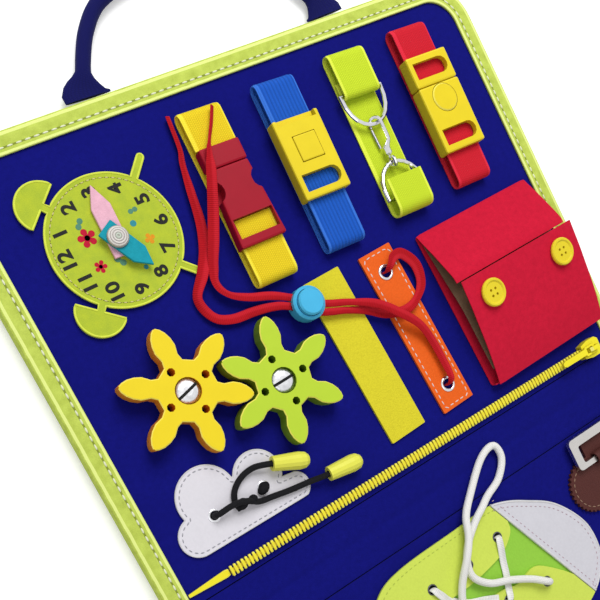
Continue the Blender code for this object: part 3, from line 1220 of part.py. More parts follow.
def build_stopper():
    frame = frame_at("stopper_place", STOPPER_X, STOPPER_Y, FACE_Z, STOPPER_TURN)
    r, top = STOPPER_RADIUS, STOPPER_HEIGHT
    low = SEAT + HOOK_STRIP_THICKNESS + SEAT
    profile = [(r * 0.86, low), (r, low + r * 0.14), (r, top - r * 0.1), (r * 0.9, top)]
    barrel = turned("stopper_barrel", profile, "plastic_sky", frame)
    well = plate("stopper_well", circle(0.0, 0.0, PLUNGER_RADIUS + SEAT, 20), STOPPER_SLOT_LOW,
                 top + OVERRUN, None, frame)
    far = r + OVERRUN
    slot = block("stopper_slot", -far, far, -STOPPER_SLOT_HALF, STOPPER_SLOT_HALF, STOPPER_SLOT_LOW,
                 STOPPER_SLOT_HIGH,
                 None, frame)
    cut(barrel, well, slot)
    p = PLUNGER_RADIUS
    high = PLUNGER_TOP
    profile = [(p, PLUNGER_LOW), (p, high - p * 0.12), (p * 0.88, high), (p * 0.3, high)]
    plunger = turned("stopper_plunger", profile, "plastic_sky", frame)
    cut(plunger, block("plunger_slot", -far, far, -STOPPER_SLOT_HALF, STOPPER_SLOT_HALF,
                       PLUNGER_LOW - OVERRUN,
                       PLUNGER_ROOF, None, frame))


def cloud_outline():
    """The far edge of the lobes, seen from the cloud's middle, cut off by its flat base."""
    outline = []
    for step in range(CLOUD_STEPS):
        angle = math.tau * step / CLOUD_STEPS
        c, s = math.cos(angle), math.sin(angle)
        reach = CLOUD_FLOOR
        for u, v, share in CLOUD_LOBE_SHARES:
            x, y, radius = u * CLOUD_WIDTH, v * CLOUD_WIDTH, share * CLOUD_WIDTH
            along = x * c + y * s
            aside = abs(y * c - x * s)
            if aside < radius:
                reach = max(reach, along + math.sqrt(radius * radius - aside * aside))
        if s < 0.0:
            reach = min(reach, CLOUD_FLOOR / -s)
        outline.append((reach * c, reach * s))
    return outline


def build_cloud():
    frame = frame_at("cloud_place", CLOUD_X, CLOUD_Y, FACE_Z)
    top = SEAT + CLOUD_THICKNESS
    holes = [circle(side * CLOUD_EYELET_SPACING / 2, CLOUD_EYELET_RISE, CLOUD_EYELET, 12)
             for side in (-1, 1)]
    plate("cloud_patch", cloud_outline(), SEAT, top, "leather_white", frame, holes=holes)
    cord("elastic_a", ELASTIC_A_ROUTE, ELASTIC_DIAMETER, "elastic_black", felt_frame("elastic_a_place"))
    cord("elastic_b", ELASTIC_B_ROUTE, ELASTIC_DIAMETER, "elastic_black", felt_frame("elastic_b_place"))
    cord_end("cord_end_a", ELASTIC_A_ROUTE)
    cord_end("cord_end_b", ELASTIC_B_ROUTE)


def felt_frame(name):
    return frame_at(name, 0.0, 0.0, FACE_Z)


def cord_end(name, route):
    """A bell-shaped cord end whose bore takes the last of its elastic."""
    last, before = Vector(route[-1]) * MM, Vector(route[-2]) * MM
    along = last - before
    turn = math.degrees(math.atan2(along.y, along.x))
    seat = frame_at(name + "_seat", last.x, last.y, FACE_Z + last.z, turn)
    length, bore = CORD_END_LENGTH, CORD_END_BORE
    r, mouth = CORD_END_RADIUS, CORD_END_MOUTH
    depth = CORD_END_BORE_DEPTH
    start = -depth + SEAT
    profile = [(bore, start), (mouth, start), (r, start + 0.72 * length), (r * 0.9, start + 0.88 * length),
               (r * 0.6, start + 0.97 * length), (r * 0.2, start + length)]
    steps = 14
    rings = []
    for radius, x in [(bore, start + depth)] + profile:
        rings.append([(x, radius * math.cos(math.tau * i / steps), radius * math.sin(math.tau * i / steps))
                      for i in range(steps)])
    loft(name, rings, "plastic_lime", seat)


def build_laces():
    cord("lace_upper", LACE_UPPER_ROUTE, LACE_DIAMETER, "lace_red", felt_frame("lace_upper_place"))
    cord("lace_lower", LACE_LOWER_ROUTE, LACE_DIAMETER, "lace_red", felt_frame("lace_lower_place"))
    cord("shoe_lace", SHOE_LACE_ROUTE, SHOE_LACE_DIAMETER, "lace_white", felt_frame("shoe_lace_place"))


def zip_outline():
    """The chain from above: teeth that step out from its core, first on one side and then on the other."""
    count = int((ZIP_RIGHT - ZIP_LEFT) / ZIP_PITCH)
    narrow, wide = ZIP_CORE_WIDTH / 2, ZIP_CHAIN_WIDTH / 2
    upper, lower = [], []
    for i in range(count):
        x = ZIP_LEFT + i * ZIP_PITCH
        for points, side, offset in ((upper, 1, 0.0), (lower, -1, 0.5)):
            start = x + offset * ZIP_PITCH
            points += [(start, side * narrow), (start + 0.05 * ZIP_PITCH, side * wide),
                       (start + 0.5 * ZIP_PITCH, side * wide), (start + 0.55 * ZIP_PITCH, side * narrow)]
    return lower + upper[::-1]


def build_zip():
    frame = frame_at("zip_place", 0.0, ZIP_Y, FACE_Z)
    chain = plate("zip_chain", zip_outline(), ZIP_TAPE_TOP, ZIP_TEETH_TOP, "zip_yellow", frame)
    t = ZIP_TAPE_WIDTH / 2
    tape = block("zip_tape_edge", ZIP_LEFT + SEAT, ZIP_RIGHT - ZIP_PITCH, -t, t, SEAT,
                 ZIP_TEETH_TOP - SEAT, None, frame)
    join(chain, tape)
    slider = frame_at("zip_slider_place", SLIDER_X, 0.0, 0.0, parent=frame)
    h = SLIDER_LENGTH / 2
    wide, nose = SLIDER_WIDTH / 2, SLIDER_NOSE_WIDTH / 2
    roof = ZIP_TEETH_TOP + SEAT
    top = roof + SLIDER_WALL
    outline = [(-h, -nose), (-h * 0.2, -wide), (h * 0.7, -wide), (h, -wide * 0.7), (h, wide * 0.7),
               (h * 0.7, wide),
               (-h * 0.2, wide), (-h, nose)]
    body = plate("zip_slider", outline, SEAT, top, "zip_yellow", slider)
    passage = ZIP_CHAIN_WIDTH / 2 + SEAT
    throat = ZIP_TAPE_WIDTH / 2 + SEAT
    tunnel = block("slider_tunnel", -h - OVERRUN, h + OVERRUN, -passage, passage, ZIP_TAPE_TOP - SEAT,
                   roof, None, slider)
    slit = block("slider_slit", -h - OVERRUN, h + OVERRUN, -throat, throat, SEAT - OVERRUN, roof, None,
                 slider)
    cut(body, tunnel, slit)
    c, w, k = CROWN_LENGTH / 2, CROWN_WIDTH / 2, CROWN_WIRE
    crown_top = top + CROWN_HEIGHT
    arch = [(-c, top - k / 2), (-c, crown_top - k), (-c + k, crown_top), (c - k, crown_top),
            (c, crown_top - k), (c, top - k / 2)]
    arch += [(c - k, top - k / 2), (c - k, crown_top - k), (-c + k, crown_top - k), (-c + k, top - k / 2)]
    rings = [[(x, y, z) for x, z in arch] for y in (-w, w)]
    join(body, loft("slider_crown", rings, None, slider))
    build_zip_pull(slider, top)


def build_zip_pull(slider, top):
    """The pull's cross bar lies under the crown, which its window goes round, and its bar lies along the chain."""
    axis = bpy.data.objects.new("zip_pull_axis", None)
    axis.location = (0.0, 0.0, top + PULL_AXIS_RISE)
    axis.parent = slider
    bpy.context.scene.collection.objects.link(axis)
    t, w, head = PULL_THICKNESS / 2, PULL_WIDTH / 2, PULL_HEAD_WIDTH / 2
    neck = -PULL_WINDOW_END - PULL_CROSS
    tip = -PULL_LENGTH
    outline = [(PULL_CROSS, -head), (PULL_CROSS, head), (neck, head), (neck - head + w, w), (tip + w, w),
               (tip, w / 2), (tip, -w / 2), (tip + w, -w), (neck - head + w, -w), (neck, -head)]
    half = PULL_WINDOW_WIDTH / 2
    window = rectangle(-PULL_WINDOW_END, -PULL_WINDOW_START, -half, half)
    plate("zip_pull", outline, -t, t, "zip_yellow", axis, holes=[window])


def share_points(shares, size):
    return [(u * size, v * size) for u, v in shares]


def clip(outline, a, b, keep):
    """The part of an outline on one side of the line from a to b: keep is 1 for its left, -1 for its right."""
    def side(p):
        return keep * ((b[0] - a[0]) * (p[1] - a[1]) - (b[1] - a[1]) * (p[0] - a[0]))

    found = []
    for p, q in zip(outline, outline[1:] + outline[:1]):
        sp, sq = side(p), side(q)
        if sp >= 0.0:
            found.append(p)
        if (sp >= 0.0) != (sq >= 0.0):
            t = sp / (sp - sq)
            found.append((p[0] + t * (q[0] - p[0]), p[1] + t * (q[1] - p[1])))
    return found


def build_shoe():
    frame = frame_at("shoe_place", SHOE_X, SHOE_Y, FACE_Z)
    outline = smooth_closed(share_points(SHOE_OUTLINE_SHARES, SHOE_LENGTH), SHOE_STEPS)
    tongue_top = SEAT + SHOE_LAYER
    low = tongue_top + SEAT
    high = low + SHOE_LAYER
    inner = [(x * SHOE_TONGUE_INSET_SHARE, y * SHOE_TONGUE_INSET_SHARE) for x, y in outline]
    plate("shoe_tongue", inner, SEAT, tongue_top, "leather_green", frame)
    a, b = share_points(TOE_EDGE_SHARES, SHOE_LENGTH)
    toe = clip(outline, a, b, 1)
    plate("shoe_toe_cap", toe, low, high, "leather_white", frame)
    length = math.hypot(b[0] - a[0], b[1] - a[1])
    shift = ((b[1] - a[1]) / length * TOE_GAP, -(b[0] - a[0]) / length * TOE_GAP)
    quarters = clip(outline, (a[0] + shift[0], a[1] + shift[1]), (b[0] + shift[0], b[1] + shift[1]), -1)
    upper = plate("shoe_upper", quarters, low, high, "leather_lime", frame)
    throat = smooth_closed(share_points(THROAT_SHARES, SHOE_LENGTH), 2)
    cut(upper, plate("shoe_throat", throat, low - SHOE_LAYER, high + OVERRUN, None, frame))
    for i, (u, v) in enumerate(SHOE_EYELET_SHARES):
        hole = circle(u * SHOE_LENGTH, v * SHOE_LENGTH, SHOE_EYELET, 10)
        cut(upper, plate(f"shoe_eyelet_{i}", hole, low - SHOE_LAYER, high + OVERRUN, None, frame))


def build_belt():
    frame = frame_at("belt_place", BELT_X, BELT_Y, FACE_Z)
    half, r = BELT_LENGTH / 2, BELT_WIDTH / 2
    straight = half - r
    rim = arc(straight, 0.0, r, -90.0, 90.0, BELT_SCALLOPS // 2 * 2) + arc(-straight, 0.0, r, 90.0, 270.0,
                                                                           BELT_SCALLOPS // 2 * 2)
    scalloped = []
    for i, (x, y) in enumerate(rim):
        centre = straight if x > 0.0 else -straight
        length = math.hypot(x - centre, y)
        inward = BELT_SCALLOP * (i % 2)
        scalloped.append((x - (x - centre) / length * inward, y - y / length * inward))
    top = SEAT + BELT_THICKNESS
    patch = plate("belt_leather", scalloped, SEAT, top, "leather_brown", frame)
    neck = BELT_NECK_WIDTH / 2
    join(patch, block("belt_neck", -neck, neck, 0.0, BELT_NECK_TOP - BELT_Y, SEAT, top, None, frame))
    x0, x1 = -BUCKLE_FRAME_LENGTH / 2, BUCKLE_FRAME_LENGTH / 2
    bar, pin, h = BUCKLE_FRAME_BAR, BUCKLE_PIN_BAR, BUCKLE_FRAME_THICKNESS / 2
    y1 = BUCKLE_FRAME_TOP - BELT_Y
    y0 = y1 - BUCKLE_FRAME_WIDTH
    hinge_y = y0 + pin / 2
    swing = math.hypot(pin / 2, h)
    axis_z = top + SEAT + swing
    keep = BELT_LOOP_WIDTH / 2
    room = swing + SEAT / 2
    reach = room + BELT_LOOP_WALL
    join(patch, block("belt_loop", -keep, keep, hinge_y - reach, hinge_y + reach, SEAT * 2, axis_z + reach,
                      None, frame))
    cut(patch, block("belt_loop_room", -keep - OVERRUN, keep + OVERRUN, hinge_y - room, hinge_y + room,
                     axis_z - room, axis_z + room, None, frame))
    hinge = frame_at("belt_buckle_axis", 0.0, hinge_y, axis_z, parent=frame)
    outer = rounded_rectangle(x0, x1, y0 - hinge_y, y1 - hinge_y, BUCKLE_FRAME_CORNER)
    inner = rounded_rectangle(x0 + bar, x1 - bar, y0 + pin - hinge_y, y1 - bar - hinge_y,
                              BUCKLE_FRAME_CORNER / 2)
    plate("belt_buckle", outer, -h, h, "steel", hinge, holes=[inner])


def main():
    clear_scene()
    shank = SCREW_SHANK + SEAT
    upper_holes = [circle(YELLOW_X, YELLOW_Y, shank, 16), circle(*green_gear_place(), shank, 16),
                   circle(DIAL_X, DIAL_Y, RIVET_SHANK + RIVET_SEAT)]
    build_half("lower", -1, ())
    build_half("upper", 1, upper_holes)
    build_spine()
    build_handle("upper_handle", 1)
    build_handle("lower_handle", -1)
    build_clock()
    build_gears()
    build_strap_1()
    build_strap_2()
    build_strap_3()
    build_strap_4()
    build_pocket()
    build_strips()
    build_stopper()
    build_laces()
    build_cloud()
    build_zip()
    build_shoe()
    build_belt()


main()
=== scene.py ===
import math

import bmesh
import bpy
from mathutils import Matrix, Vector


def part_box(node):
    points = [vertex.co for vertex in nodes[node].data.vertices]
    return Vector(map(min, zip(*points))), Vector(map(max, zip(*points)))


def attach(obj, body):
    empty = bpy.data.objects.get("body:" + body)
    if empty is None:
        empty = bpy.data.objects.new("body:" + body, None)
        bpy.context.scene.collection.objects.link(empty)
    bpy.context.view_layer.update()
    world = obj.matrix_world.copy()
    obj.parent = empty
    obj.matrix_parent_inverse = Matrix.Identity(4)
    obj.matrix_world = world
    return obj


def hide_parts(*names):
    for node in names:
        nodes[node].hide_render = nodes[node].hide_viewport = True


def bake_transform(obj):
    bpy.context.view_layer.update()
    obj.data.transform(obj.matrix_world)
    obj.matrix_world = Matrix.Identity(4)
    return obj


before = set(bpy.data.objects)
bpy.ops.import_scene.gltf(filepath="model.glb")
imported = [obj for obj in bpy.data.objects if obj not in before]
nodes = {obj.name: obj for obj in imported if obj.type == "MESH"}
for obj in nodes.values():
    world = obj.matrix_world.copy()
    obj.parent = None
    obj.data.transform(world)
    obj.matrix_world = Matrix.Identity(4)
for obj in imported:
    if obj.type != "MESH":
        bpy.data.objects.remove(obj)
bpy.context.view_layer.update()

# The view of the open board from its dial side, down over the upper half, as the photograph is framed.
# The camera stands 402 mm over the felt, with its principal point below and right of the middle.
MM = 0.001
PICTURE = 600
FOCAL_PIXELS = 899.1
MIDDLE_PIXEL = (333.9, 453.3)
SENSOR = 36.0
VIEW_RIGHT = Vector((0.7916, -0.4595, 0.4029))
VIEW_DOWN = Vector((-0.4692, -0.8794, -0.0811))
VIEW_FORWARD = Vector((0.3916, -0.1248, -0.9116))
CAMERA_SPOT = Vector((-215.4, 98.8, 410.0)) * MM


def put(name, data):
    """An object in the scene."""
    made = bpy.data.objects.new(name, data)
    bpy.context.scene.collection.objects.link(made)
    return made


camera_data = bpy.data.cameras.new("photograph_view")
camera_data.sensor_width = SENSOR
camera_data.lens = SENSOR * FOCAL_PIXELS / PICTURE
camera_data.shift_x = (PICTURE / 2 - MIDDLE_PIXEL[0]) / PICTURE
camera_data.shift_y = (MIDDLE_PIXEL[1] - PICTURE / 2) / PICTURE
camera_data.clip_start = 0.01
camera = put("photograph_view", camera_data)
turned_view = Matrix((VIEW_RIGHT, -VIEW_DOWN, -VIEW_FORWARD)).transposed().to_4x4()
camera.matrix_world = Matrix.Translation(CAMERA_SPOT) @ turned_view
bpy.context.scene.camera = camera
bpy.context.scene.view_settings.view_transform = "Standard"


# The studio: a pale floor that the board lies on, an even white surround, and one broad soft lamp
# over the far right corner, so that pieces shade a little towards the near left.
class Value:
    """A socket of a node tree that is worked with like a number."""

    def __init__(self, tree, socket):
        self.tree, self.socket = tree, socket

    def do(self, operation, other=0.0, turned=False):
        node = self.tree.nodes.new("ShaderNodeMath")
        node.operation = operation
        for socket, item in zip(node.inputs, (other, self) if turned else (self, other)):
            if isinstance(item, Value):
                self.tree.links.new(item.socket, socket)
            else:
                socket.default_value = item
        return Value(self.tree, node.outputs[0])

    def __add__(self, other):
        return self.do("ADD", other)

    def __sub__(self, other):
        return self.do("SUBTRACT", other)

    def __rsub__(self, other):
        return self.do("SUBTRACT", other, True)

    def __mul__(self, other):
        return self.do("MULTIPLY", other)

    def __truediv__(self, other):
        return self.do("DIVIDE", other)

    def __gt__(self, other):
        return self.do("GREATER_THAN", other)

    def __lt__(self, other):
        return self.do("LESS_THAN", other)


class Wiring:
    """A node tree that is filled by type, the values or links of its sockets, and settings."""

    def __init__(self, tree):
        self.tree = tree

    def add(self, kind, sockets=None, output=0, **settings):
        node = self.tree.nodes.new(kind)
        for key, value in settings.items():
            setattr(node, key, value)
        for key, value in (sockets or {}).items():
            if isinstance(value, Value):
                self.tree.links.new(value.socket, node.inputs[key])
            else:
                node.inputs[key].default_value = value
        return Value(self.tree, node.outputs[output])


SURROUND_LIGHT = 0.42
world = bpy.data.worlds.new("studio")
bpy.context.scene.world = world
world.use_nodes = True
surround = world.node_tree.nodes["Background"]
surround.inputs["Color"].default_value = (1.0, 1.0, 1.0, 1.0)
light_level = Wiring(world.node_tree).add("ShaderNodeLightPath", output="Is Camera Ray")
for kind in ("Is Glossy Ray", "Is Transmission Ray"):
    light_level = light_level.do("MAXIMUM", Wiring(world.node_tree).add("ShaderNodeLightPath", output=kind))
world.node_tree.links.new(light_level.do("MAXIMUM", SURROUND_LIGHT).socket, surround.inputs["Strength"])

for name, place, size, power in (
    ("far_softbox", (0.22, 0.78, 1.0), 0.7, 11.2),
    ("near_softbox", (-0.7, -0.2, 1.3), 1.1, 3.6),
):
    lamp = bpy.data.lights.new(name, "AREA")
    lamp.energy = power
    lamp.size = size
    holder = put(name, lamp)
    holder.location = place
    holder.rotation_euler = (-Vector(place)).to_track_quat("-Z", "Y").to_euler()


class Finish(Wiring):
    """A material on the principled shader, with patterns in the row frame fed to its sockets."""

    def __init__(self, name, roughness, metallic=0.0, sheen=0.0, shine=0.06):
        self.material = bpy.data.materials.new(name)
        self.material.use_nodes = True
        super().__init__(self.material.node_tree)
        self.shader = self.tree.nodes["Principled BSDF"]
        self.set("Roughness", roughness)
        self.set("Metallic", metallic)
        self.set("Sheen Weight", sheen)
        self.set("Specular IOR Level", shine)
        self.where = self.add("ShaderNodeTexCoord", output="Object")

    def set(self, socket, value):
        self.shader.inputs[socket].default_value = value

    def split(self, vector):
        node = self.tree.nodes.new("ShaderNodeSeparateXYZ")
        self.tree.links.new(vector.socket, node.inputs[0])
        return [Value(self.tree, socket) for socket in node.outputs]

    def along_surface(self):
        """(across, along) in metres from the piece's own map."""
        return self.split(self.add("ShaderNodeTexCoord", output="UV"))[:2]

    def upward(self):
        return self.split(self.add("ShaderNodeNewGeometry", output="Normal"))[2]

    def noise(self, size, detail=2.0, rough=0.5):
        sockets = {"Vector": self.where, "Scale": 1 / size, "Detail": detail, "Roughness": rough}
        return self.add("ShaderNodeTexNoise", sockets)

    def cells(self, size, feature="F1"):
        return self.add("ShaderNodeTexVoronoi", {"Vector": self.where, "Scale": 1 / size}, feature=feature)

    def mix(self, mask, first, second):
        first, second = (item if isinstance(item, Value) else (*item, 1.0) for item in (first, second))
        return self.add("ShaderNodeMix", {0: mask, 6: first, 7: second}, 2, data_type="RGBA")

    def done(self, colour, height=None, depth=0.0, roughness=None):
        """Feeds the shader and gives the material."""
        feeds = {"Base Color": colour, "Roughness": roughness}
        if height:
            feeds["Normal"] = self.add("ShaderNodeBump",
                                       {"Height": height, "Distance": depth, "Strength": 1.0})
        for socket, value in feeds.items():
            if value:
                self.tree.links.new(value.socket, self.shader.inputs[socket])
        return self.material


# The two padded halves and the spine between them: royal blue pressed felt over a stiff backing.
# The nap is short and dense, a little darker where it is pressed, and soft at the cut edges.
def shade(colour, factor):
    return tuple(min(1.0, channel * factor) for channel in colour)


def felt(name, colour, depth=0.14 * MM, drift=0.16):
    """Pressed felt: crossing fibres, small pits and slow drifts of tone."""
    made = Finish(name, 0.94, sheen=0.02, shine=0.03)
    fibres = made.noise(0.55 * MM, 4.0, 0.7)
    pits = made.noise(2.6 * MM, 3.0)
    body = made.mix(made.noise(26.0 * MM), shade(colour, 1.0 - drift), shade(colour, 1.0 + drift))
    pressed = (fibres * 0.55 + pits * 0.45 - 0.3) * 2.4
    return made.done(made.mix(pressed, shade(colour, 0.74), body), fibres * 0.7 + pits * 0.6, depth)


def plate_mesh(outline, low, high, holes=()):
    """A flat shape between two heights, with holes right through it."""
    shape = bmesh.new()
    edges = []
    for ring in (outline, *holes):
        corners = [shape.verts.new((x, y, low)) for x, y in ring]
        edges += [shape.edges.new(pair) for pair in zip(corners, corners[1:] + corners[:1])]
    filled = bmesh.ops.triangle_fill(shape, edges=edges, use_beauty=True, normal=(0.0, 0.0, 1.0))
    faces = [item for item in filled["geom"] if isinstance(item, bmesh.types.BMFace)]
    raised = bmesh.ops.extrude_face_region(shape, geom=faces)
    moved = [item for item in raised["geom"] if isinstance(item, bmesh.types.BMVert)]
    bmesh.ops.translate(shape, verts=moved, vec=(0.0, 0.0, high - low))
    return shape


UP = Vector((0.0, 0.0, 1.0))


def swept(stations, section, loop=False, scales=None, shape=None):
    """A skin over a closed section carried along stations of (point, side, up), mapped in metres."""
    shape = bmesh.new() if shape is None else shape
    layer = shape.loops.layers.uv.get("UVMap") or shape.loops.layers.uv.new("UVMap")
    count = len(section)
    around, rows, lengths = [0.0], [], [0.0]
    for a, b in zip(section, section[1:] + section[:1]):
        around.append(around[-1] + math.hypot(b[0] - a[0], b[1] - a[1]))
    for i, (point, side, up) in enumerate(stations):
        wide, tall = scales[i] if scales else (1.0, 1.0)
        rows.append([shape.verts.new(point + side * a * wide + up * b * tall) for a, b in section])
        if i:
            lengths.append(lengths[-1] + (point - stations[i - 1][0]).length)
    if loop:
        rows.append(rows[0])
        lengths.append(lengths[-1] + (stations[0][0] - stations[-1][0]).length)
    for i in range(len(rows) - 1):
        for k in range(count):
            j = (k + 1) % count
            face = shape.faces.new((rows[i][k], rows[i][j], rows[i + 1][j], rows[i + 1][k]))
            for corner, (m, n) in zip(face.loops, ((k, i), (k + 1, i), (k + 1, i + 1), (k, i + 1))):
                corner[layer].uv = (around[m], lengths[n])
    if not loop:
        shape.faces.new(rows[0])
        shape.faces.new(rows[-1])
    return shape


def to_mesh(name, shape):
    """The mesh of a bmesh, which is freed."""
    bmesh.ops.recalc_face_normals(shape, faces=shape.faces)
    mesh = bpy.data.meshes.new(name)
    shape.to_mesh(mesh)
    shape.free()
    return mesh


def tie(piece, body):
    """A piece rides on one body; given two as (first, second, start, end), it is only fixed where it stands.
    """
    if isinstance(body, str):
        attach(piece, body)
    else:
        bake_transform(piece)


def show(name, shape, finish, stands_for=None, body="upper_panel", edge=0.0, segments=2, smooth=40.0):
    """A piece from a bmesh or a ready object, tied to its body and standing for its CAD node, with its cut
    edge rounded where it has one."""
    if isinstance(shape, bmesh.types.BMesh):
        mesh = to_mesh(name, shape)
        mesh.shade_smooth()
        mesh.set_sharp_from_angle(angle=math.radians(smooth))
        shape = put(name, mesh)
    shape.data.materials.clear()
    shape.data.materials.append(finish)
    tie(shape, body)
    if stands_for:
        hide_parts(stands_for)
    if edge:
        bevel = shape.modifiers.new("soft edge", "BEVEL")
        bevel.width = edge
        bevel.segments = segments
        bevel.limit_method = "ANGLE"
        bevel.angle_limit = math.radians(50.0)
    return shape


def arc(x, y, radius, start, end, steps):
    points = []
    for step in range(steps + 1):
        angle = math.radians(start + (end - start) * step / steps)
        points.append((x + radius * math.cos(angle), y + radius * math.sin(angle)))
    return points


def circle(x, y, radius, steps=24):
    return arc(x, y, radius, 0.0, 360.0 - 360.0 / steps, steps - 1)


FELT_TOP = 8.0 * MM
PADDING_TOP = 6.0 * MM
BOARD_HALF_WIDTH = 150.0 * MM
BOARD_END = 239.4 * MM
SPINE_EDGE = 15.5 * MM
SEAM = 0.3 * MM
CORNER = 25.0 * MM
BINDING_REACH = 10.6 * MM
BINDING_SKIN = 1.3 * MM
BINDING_TOP = 9.6 * MM
HINGE_LAP = 5.0 * MM
HINGE_HEIGHT = 9.8 * MM
INSIDE_SKIN = BINDING_SKIN + SEAM
UNDER_ARM = BINDING_REACH + SEAM
OUTER_FELT = INSIDE_SKIN - 0.05 * MM


def half_shape(inset, side, near=SPINE_EDGE + SEAM):
    """One half of the board, drawn in from its edge."""
    wide, far, radius = BOARD_HALF_WIDTH - inset, BOARD_END - inset, CORNER - inset
    points = [(-wide, near), (wide, near)] + arc(wide - radius, far - radius, radius, 0.0, 90.0, 16)
    points += arc(-wide + radius, far - radius, radius, 90.0, 180.0, 16)
    return [(x, side * y) for x, y in points]


royal_felt = felt("royal_felt", (0.0075, 0.0085, 0.195))
GEAR_SPOTS = ((-96.1 * MM, 103.1 * MM), (-52.6008 * MM, 87.0954 * MM))
DIAL_SPOT = (-89.7 * MM, 177.7 * MM)
DIAL_BORE = circle(*DIAL_SPOT, 2.25 * MM)
screw_holes = [circle(x, y, 3.5 * MM) for x, y in GEAR_SPOTS] + [DIAL_BORE]
HALVES = ((-1, "lower_panel", "lower"), (1, "upper_panel", "upper"))
for side, body, half in HALVES:
    inner = half_shape(INSIDE_SKIN, side)
    outer = half_shape(UNDER_ARM, side, SPINE_EDGE + HINGE_LAP)
    face_holes = screw_holes if side > 0 else ()
    for name, outline, low, high, holes, node, edge in (
        ("_padding", inner, INSIDE_SKIN, PADDING_TOP, (), half + "_backing", 0.4 * MM),
        ("_outer_felt", outer, 0.0, OUTER_FELT, (), None, 0.5 * MM),
        ("_felt", inner, PADDING_TOP + SEAM, FELT_TOP, face_holes, half + "_face_felt", 0.25 * MM),
    ):
        show(half + name, plate_mesh(outline, low, high, holes), royal_felt, node, body, edge)

SPINE_REACH = SPINE_EDGE - SEAM
spine_section = []
for step in range(25):
    y = SPINE_REACH * (step / 12 - 1.0)
    crease = math.exp(-(y / (2.2 * MM)) ** 2)
    near_edge = min(1.0, (SPINE_REACH - abs(y)) / (1.4 * MM))
    spine_section.append((y, FELT_TOP - 0.55 * MM * crease - 0.35 * MM * (1.0 - near_edge) ** 2))
spine_section += [(SPINE_REACH, INSIDE_SKIN), (-SPINE_REACH, INSIDE_SKIN)]
SPINE_WIDE = BOARD_HALF_WIDTH - INSIDE_SKIN
spine_ends = [(Vector((x, 0.0, 0.0)), Vector((0.0, 1.0, 0.0)), UP) for x in (-SPINE_WIDE, SPINE_WIDE)]
show("spine_fold_felt", swept(spine_ends, spine_section), royal_felt, "spine_felt", "spine")
UNDER = BOARD_HALF_WIDTH - UNDER_ARM
BEND_END = SPINE_EDGE - HINGE_LAP
spine_under = [(-UNDER, -BEND_END), (UNDER, -BEND_END), (UNDER, BEND_END), (-UNDER, BEND_END)]
show("spine_outer_felt", plate_mesh(spine_under, 0.0, OUTER_FELT), royal_felt, None, "spine",
     0.4 * MM)


# The binding: a strip of lime felt folded over the board's edge and sewn through, about 3 mm in from
# its cut edge, with a thick pale thread. Each half and each end of the spine has its own length.
BINDING_BEND = 1.5 * MM


def binding_section():
    """The folded strip: its lower arm, round the edge, and its upper arm with a soft cut edge."""
    reach, skin, top, bend = BINDING_REACH, BINDING_SKIN, BINDING_TOP, BINDING_BEND
    soft, short, curl = 0.15 * MM, reach - 0.2 * MM, skin + 0.4 * MM
    outer = [(reach, soft), (reach - 0.3 * MM, 0.0), (reach * 0.6, 0.0)]
    outer += arc(bend, bend, bend, 270.0, 180.0, 4) + arc(bend, top - bend, bend, 180.0, 90.0, 4)
    outer += [(reach * 0.45, top), (reach * 0.62, top - 0.2 * MM), (reach * 0.8, top)]
    outer += [(reach - 0.35 * MM, top), (reach, top - 0.35 * MM)]
    inner = [(reach, top - skin + soft), (short, top - skin), (curl, top - skin), (skin, top - curl)]
    return outer + inner + [(skin, curl), (curl, skin), (short, skin), (reach, skin - soft)]


def edge_stations(side, near=SPINE_EDGE + SEAM):
    """Round a half's outer edge from one fold end to the other, as (x, y, bearing) first."""
    middle, end, steps = BOARD_HALF_WIDTH - CORNER, BOARD_END - CORNER, 44
    found = [(BOARD_HALF_WIDTH, near + (end - near) * i / steps, 0.0) for i in range(steps)]
    found += [(x, y, 7.5 * i) for i, (x, y) in enumerate(arc(middle, end, CORNER, 0.0, 90.0, 12))]
    found += [(middle * (1.0 - 2.0 * i / steps), BOARD_END, 90.0) for i in range(1, steps)]
    found += [(x, y, 90.0 + 7.5 * i) for i, (x, y) in enumerate(arc(-middle, end, CORNER, 90.0, 180.0, 12))]
    found += [(-BOARD_HALF_WIDTH, near + (end - near) * (1.0 - i / steps), 180.0)
              for i in range(1, steps + 1)]
    stations = []
    for x, y, bearing in found:
        angle = math.radians(bearing)
        inwards = Vector((-math.cos(angle), -side * math.sin(angle), 0.0))
        stations.append((Vector((x, side * y, 0.0)), inwards, UP))
    return stations


def run_to(section, reach):
    """How far round the section a point of its upper face lies, in metres."""
    run = 0.0
    for a, b in zip(section, section[1:]):
        if a[1] > BINDING_TOP / 2 and a[0] <= reach <= b[0]:
            return run + reach - a[0]
        run += math.hypot(b[0] - a[0], b[1] - a[1])
    return run


def binding_felt(fold, seam, cut):
    """Lime felt with a painted highlight along its fold and cut edge, and painted shade in the groove under
    the seam.
    """
    lime, pale = (0.58, 0.72, 0.085), (0.84, 0.93, 0.3)
    made = Finish("lime_binding_felt", 0.9, sheen=0.03)
    across = made.along_surface()[0]
    fibres = made.noise(0.6 * MM, 4.0, 0.7)
    drift = made.noise(5.0 * MM, 4.0)
    body = made.mix((fibres * 0.5 + drift * 0.5 - 0.3) * 2.2, shade(lime, 0.62), lime)
    body = made.mix(drift * 0.3, body, pale)
    wander = (drift - 0.5) * (0.5 * MM)
    # The pale bands along the outer fold and along the inner cut edge are painted highlights.
    fold_highlight = (across + wander - fold).do("ABSOLUTE") < 0.7 * MM
    cut_edge_highlight = (across + wander - cut).do("ABSOLUTE") < 0.75 * MM
    # The dark line under the seam row is painted shade in the stitch groove, which is also pressed in as a
    # bump.
    seam_groove_and_shade = (across + wander * 0.4 - seam).do("ABSOLUTE") < 0.42 * MM
    body = made.mix(fold_highlight.do("MAXIMUM", cut_edge_highlight) * 0.85, body, pale)
    height = fibres * 0.8 + drift * 0.8 - seam_groove_and_shade
    return made.done(made.mix(seam_groove_and_shade * 0.8, body, shade(lime, 0.3)), height, 0.25 * MM)


